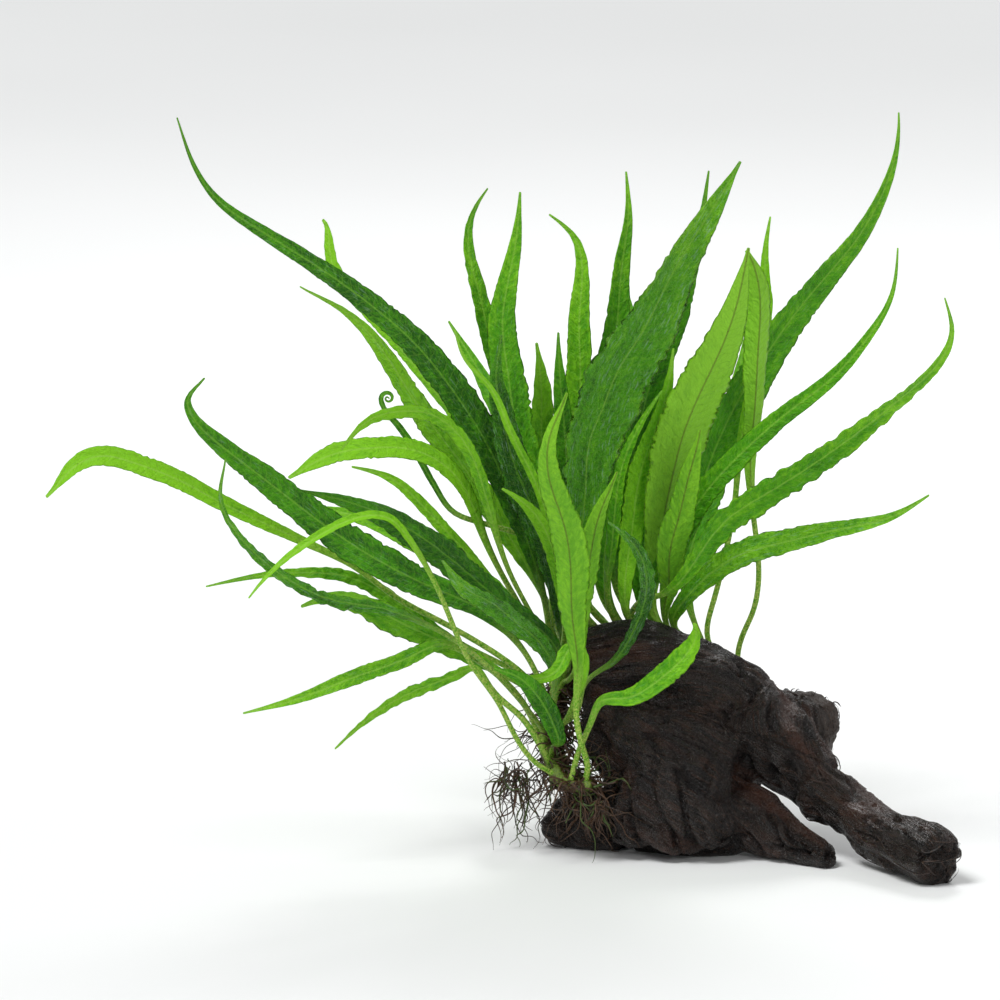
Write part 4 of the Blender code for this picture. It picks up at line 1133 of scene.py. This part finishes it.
def build_roots(wood):
    material = root_material()
    nearest = surface_finder(wood)
    random = np.random.default_rng(41)
    skin = node_places("rhizome")
    low, high = node_box("rhizome")
    share = (skin[:, 0] - low[0]) / (high[0] - low[0])
    # the rhizome climbs the wood's left end: most roots leave it there
    left = skin[share < LEFT_SHARE]
    back = skin[share >= LEFT_SHARE]
    courses, widths = [], []
    for i in range(LEFT_ROOTS):
        start = left[random.integers(len(left))]
        heading = random.normal(size=3) * (1, 1, 0.5) + (0, -0.2, -0.9)
        courses.append(wander(start, heading, random.uniform(10, 42), nearest, 1000 + i))
        widths.append(random.uniform(0.14, 0.42))
    for i in range(BACK_ROOTS):
        start = back[random.integers(len(back))]
        heading = random.normal(size=3) + (0, 0.5, -0.6)
        courses.append(wander(start, heading, random.uniform(10, 36), nearest, 2000 + i))
        widths.append(random.uniform(0.14, 0.36))
    # a dark mat of roots fills the space between the rhizome and the wood's left end
    for i in range(MAT_ROOTS):
        start = left[random.integers(len(left))] + random.normal(size=3) * 1.5
        heading = random.normal(size=3) * (0.5, 0.6, 0.6) + (1.1, 0, -0.35)
        length = random.uniform(9, 34)
        courses.append(wander(start, heading, length, nearest, 7000 + i, curl=0.5))
        widths.append(random.uniform(0.22, 0.60))
    for node, amount in TANGLES:
        box_low, box_high = node_box(node)
        for i in range(amount):
            courses.append(tangle(box_low, box_high, nearest, random, 3000 + i))
            widths.append(random.uniform(0.16, 0.46))
    courses.append(loose_ring())
    widths.append(RING_WIDTH)
    roots = bundle("wiry_roots", courses, widths, material)
    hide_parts("roots_left", "roots_front")
    # short brown scales and hairs on the rhizome
    hairs, widths = [], []
    for _ in range(HAIRS):
        k = random.integers(len(skin))
        normal = np.array(NODES["rhizome"].data.vertices[k].normal)
        out = unit(normal + random.normal(size=3) * 0.6)
        start = skin[k] + random.normal(size=3) * 0.8
        length = random.uniform(1.5, 4.0)
        hair = [start + out * length * t + (0, 0, -0.5 * t * t) for t in HAIR_STEPS]
        hairs.append(np.array(hair))
        widths.append(random.uniform(0.10, 0.26))
    bundle("rhizome_hairs", hairs, widths, material)


def build_fibres(wood, material):
    """Strands lifting off the worn wood, most of them on the crumbly knob and the long limb."""
    nearest = surface_finder(wood)
    random = np.random.default_rng(77)
    courses, widths = [], []
    for node, amount, along, usual_length in FIBRES:
        places = node_places(node)
        for _ in range(amount):
            start, normal, _ = nearest(places[random.integers(len(places))])
            heading = unit(np.array(along) + 0.35 * random.normal(size=3))
            length = usual_length * random.uniform(0.4, 1.2)
            seed = 5000 + len(courses)
            courses.append(wander(start + normal * 0.1, heading, length, nearest, seed,
                                  sag=0.01, curl=0.16, cling=0.12))
            widths.append(random.uniform(0.10, 0.30))
    bundle("wood_fibres", courses, widths, material)


def fibre_material():
    g = Graph("wood_fibres")
    place = g.place_mm()
    tint = g.attribute("tint", "Fac")
    fine = g.noise(g.stretched(place, (0.9, 0.9, 0.9)), detail=3, roughness=0.6)
    dark = g.mix(tint, FIBRE_DARK, FIBRE_BROWN)
    colour = g.mix(g.between(fine, 0.45, 0.75), dark, FIBRE_PALE)
    return g.finish(colour, g.between(fine, 0.3, 0.7, 0.3, 0.6), g.bump(fine, 0.5, 0.0002))


def main():
    add_stage()
    add_camera()
    build_fronds()
    wood = build_wood(wood_material())
    build_rhizome()
    build_roots(wood)
    build_fibres(wood, fibre_material())


main()
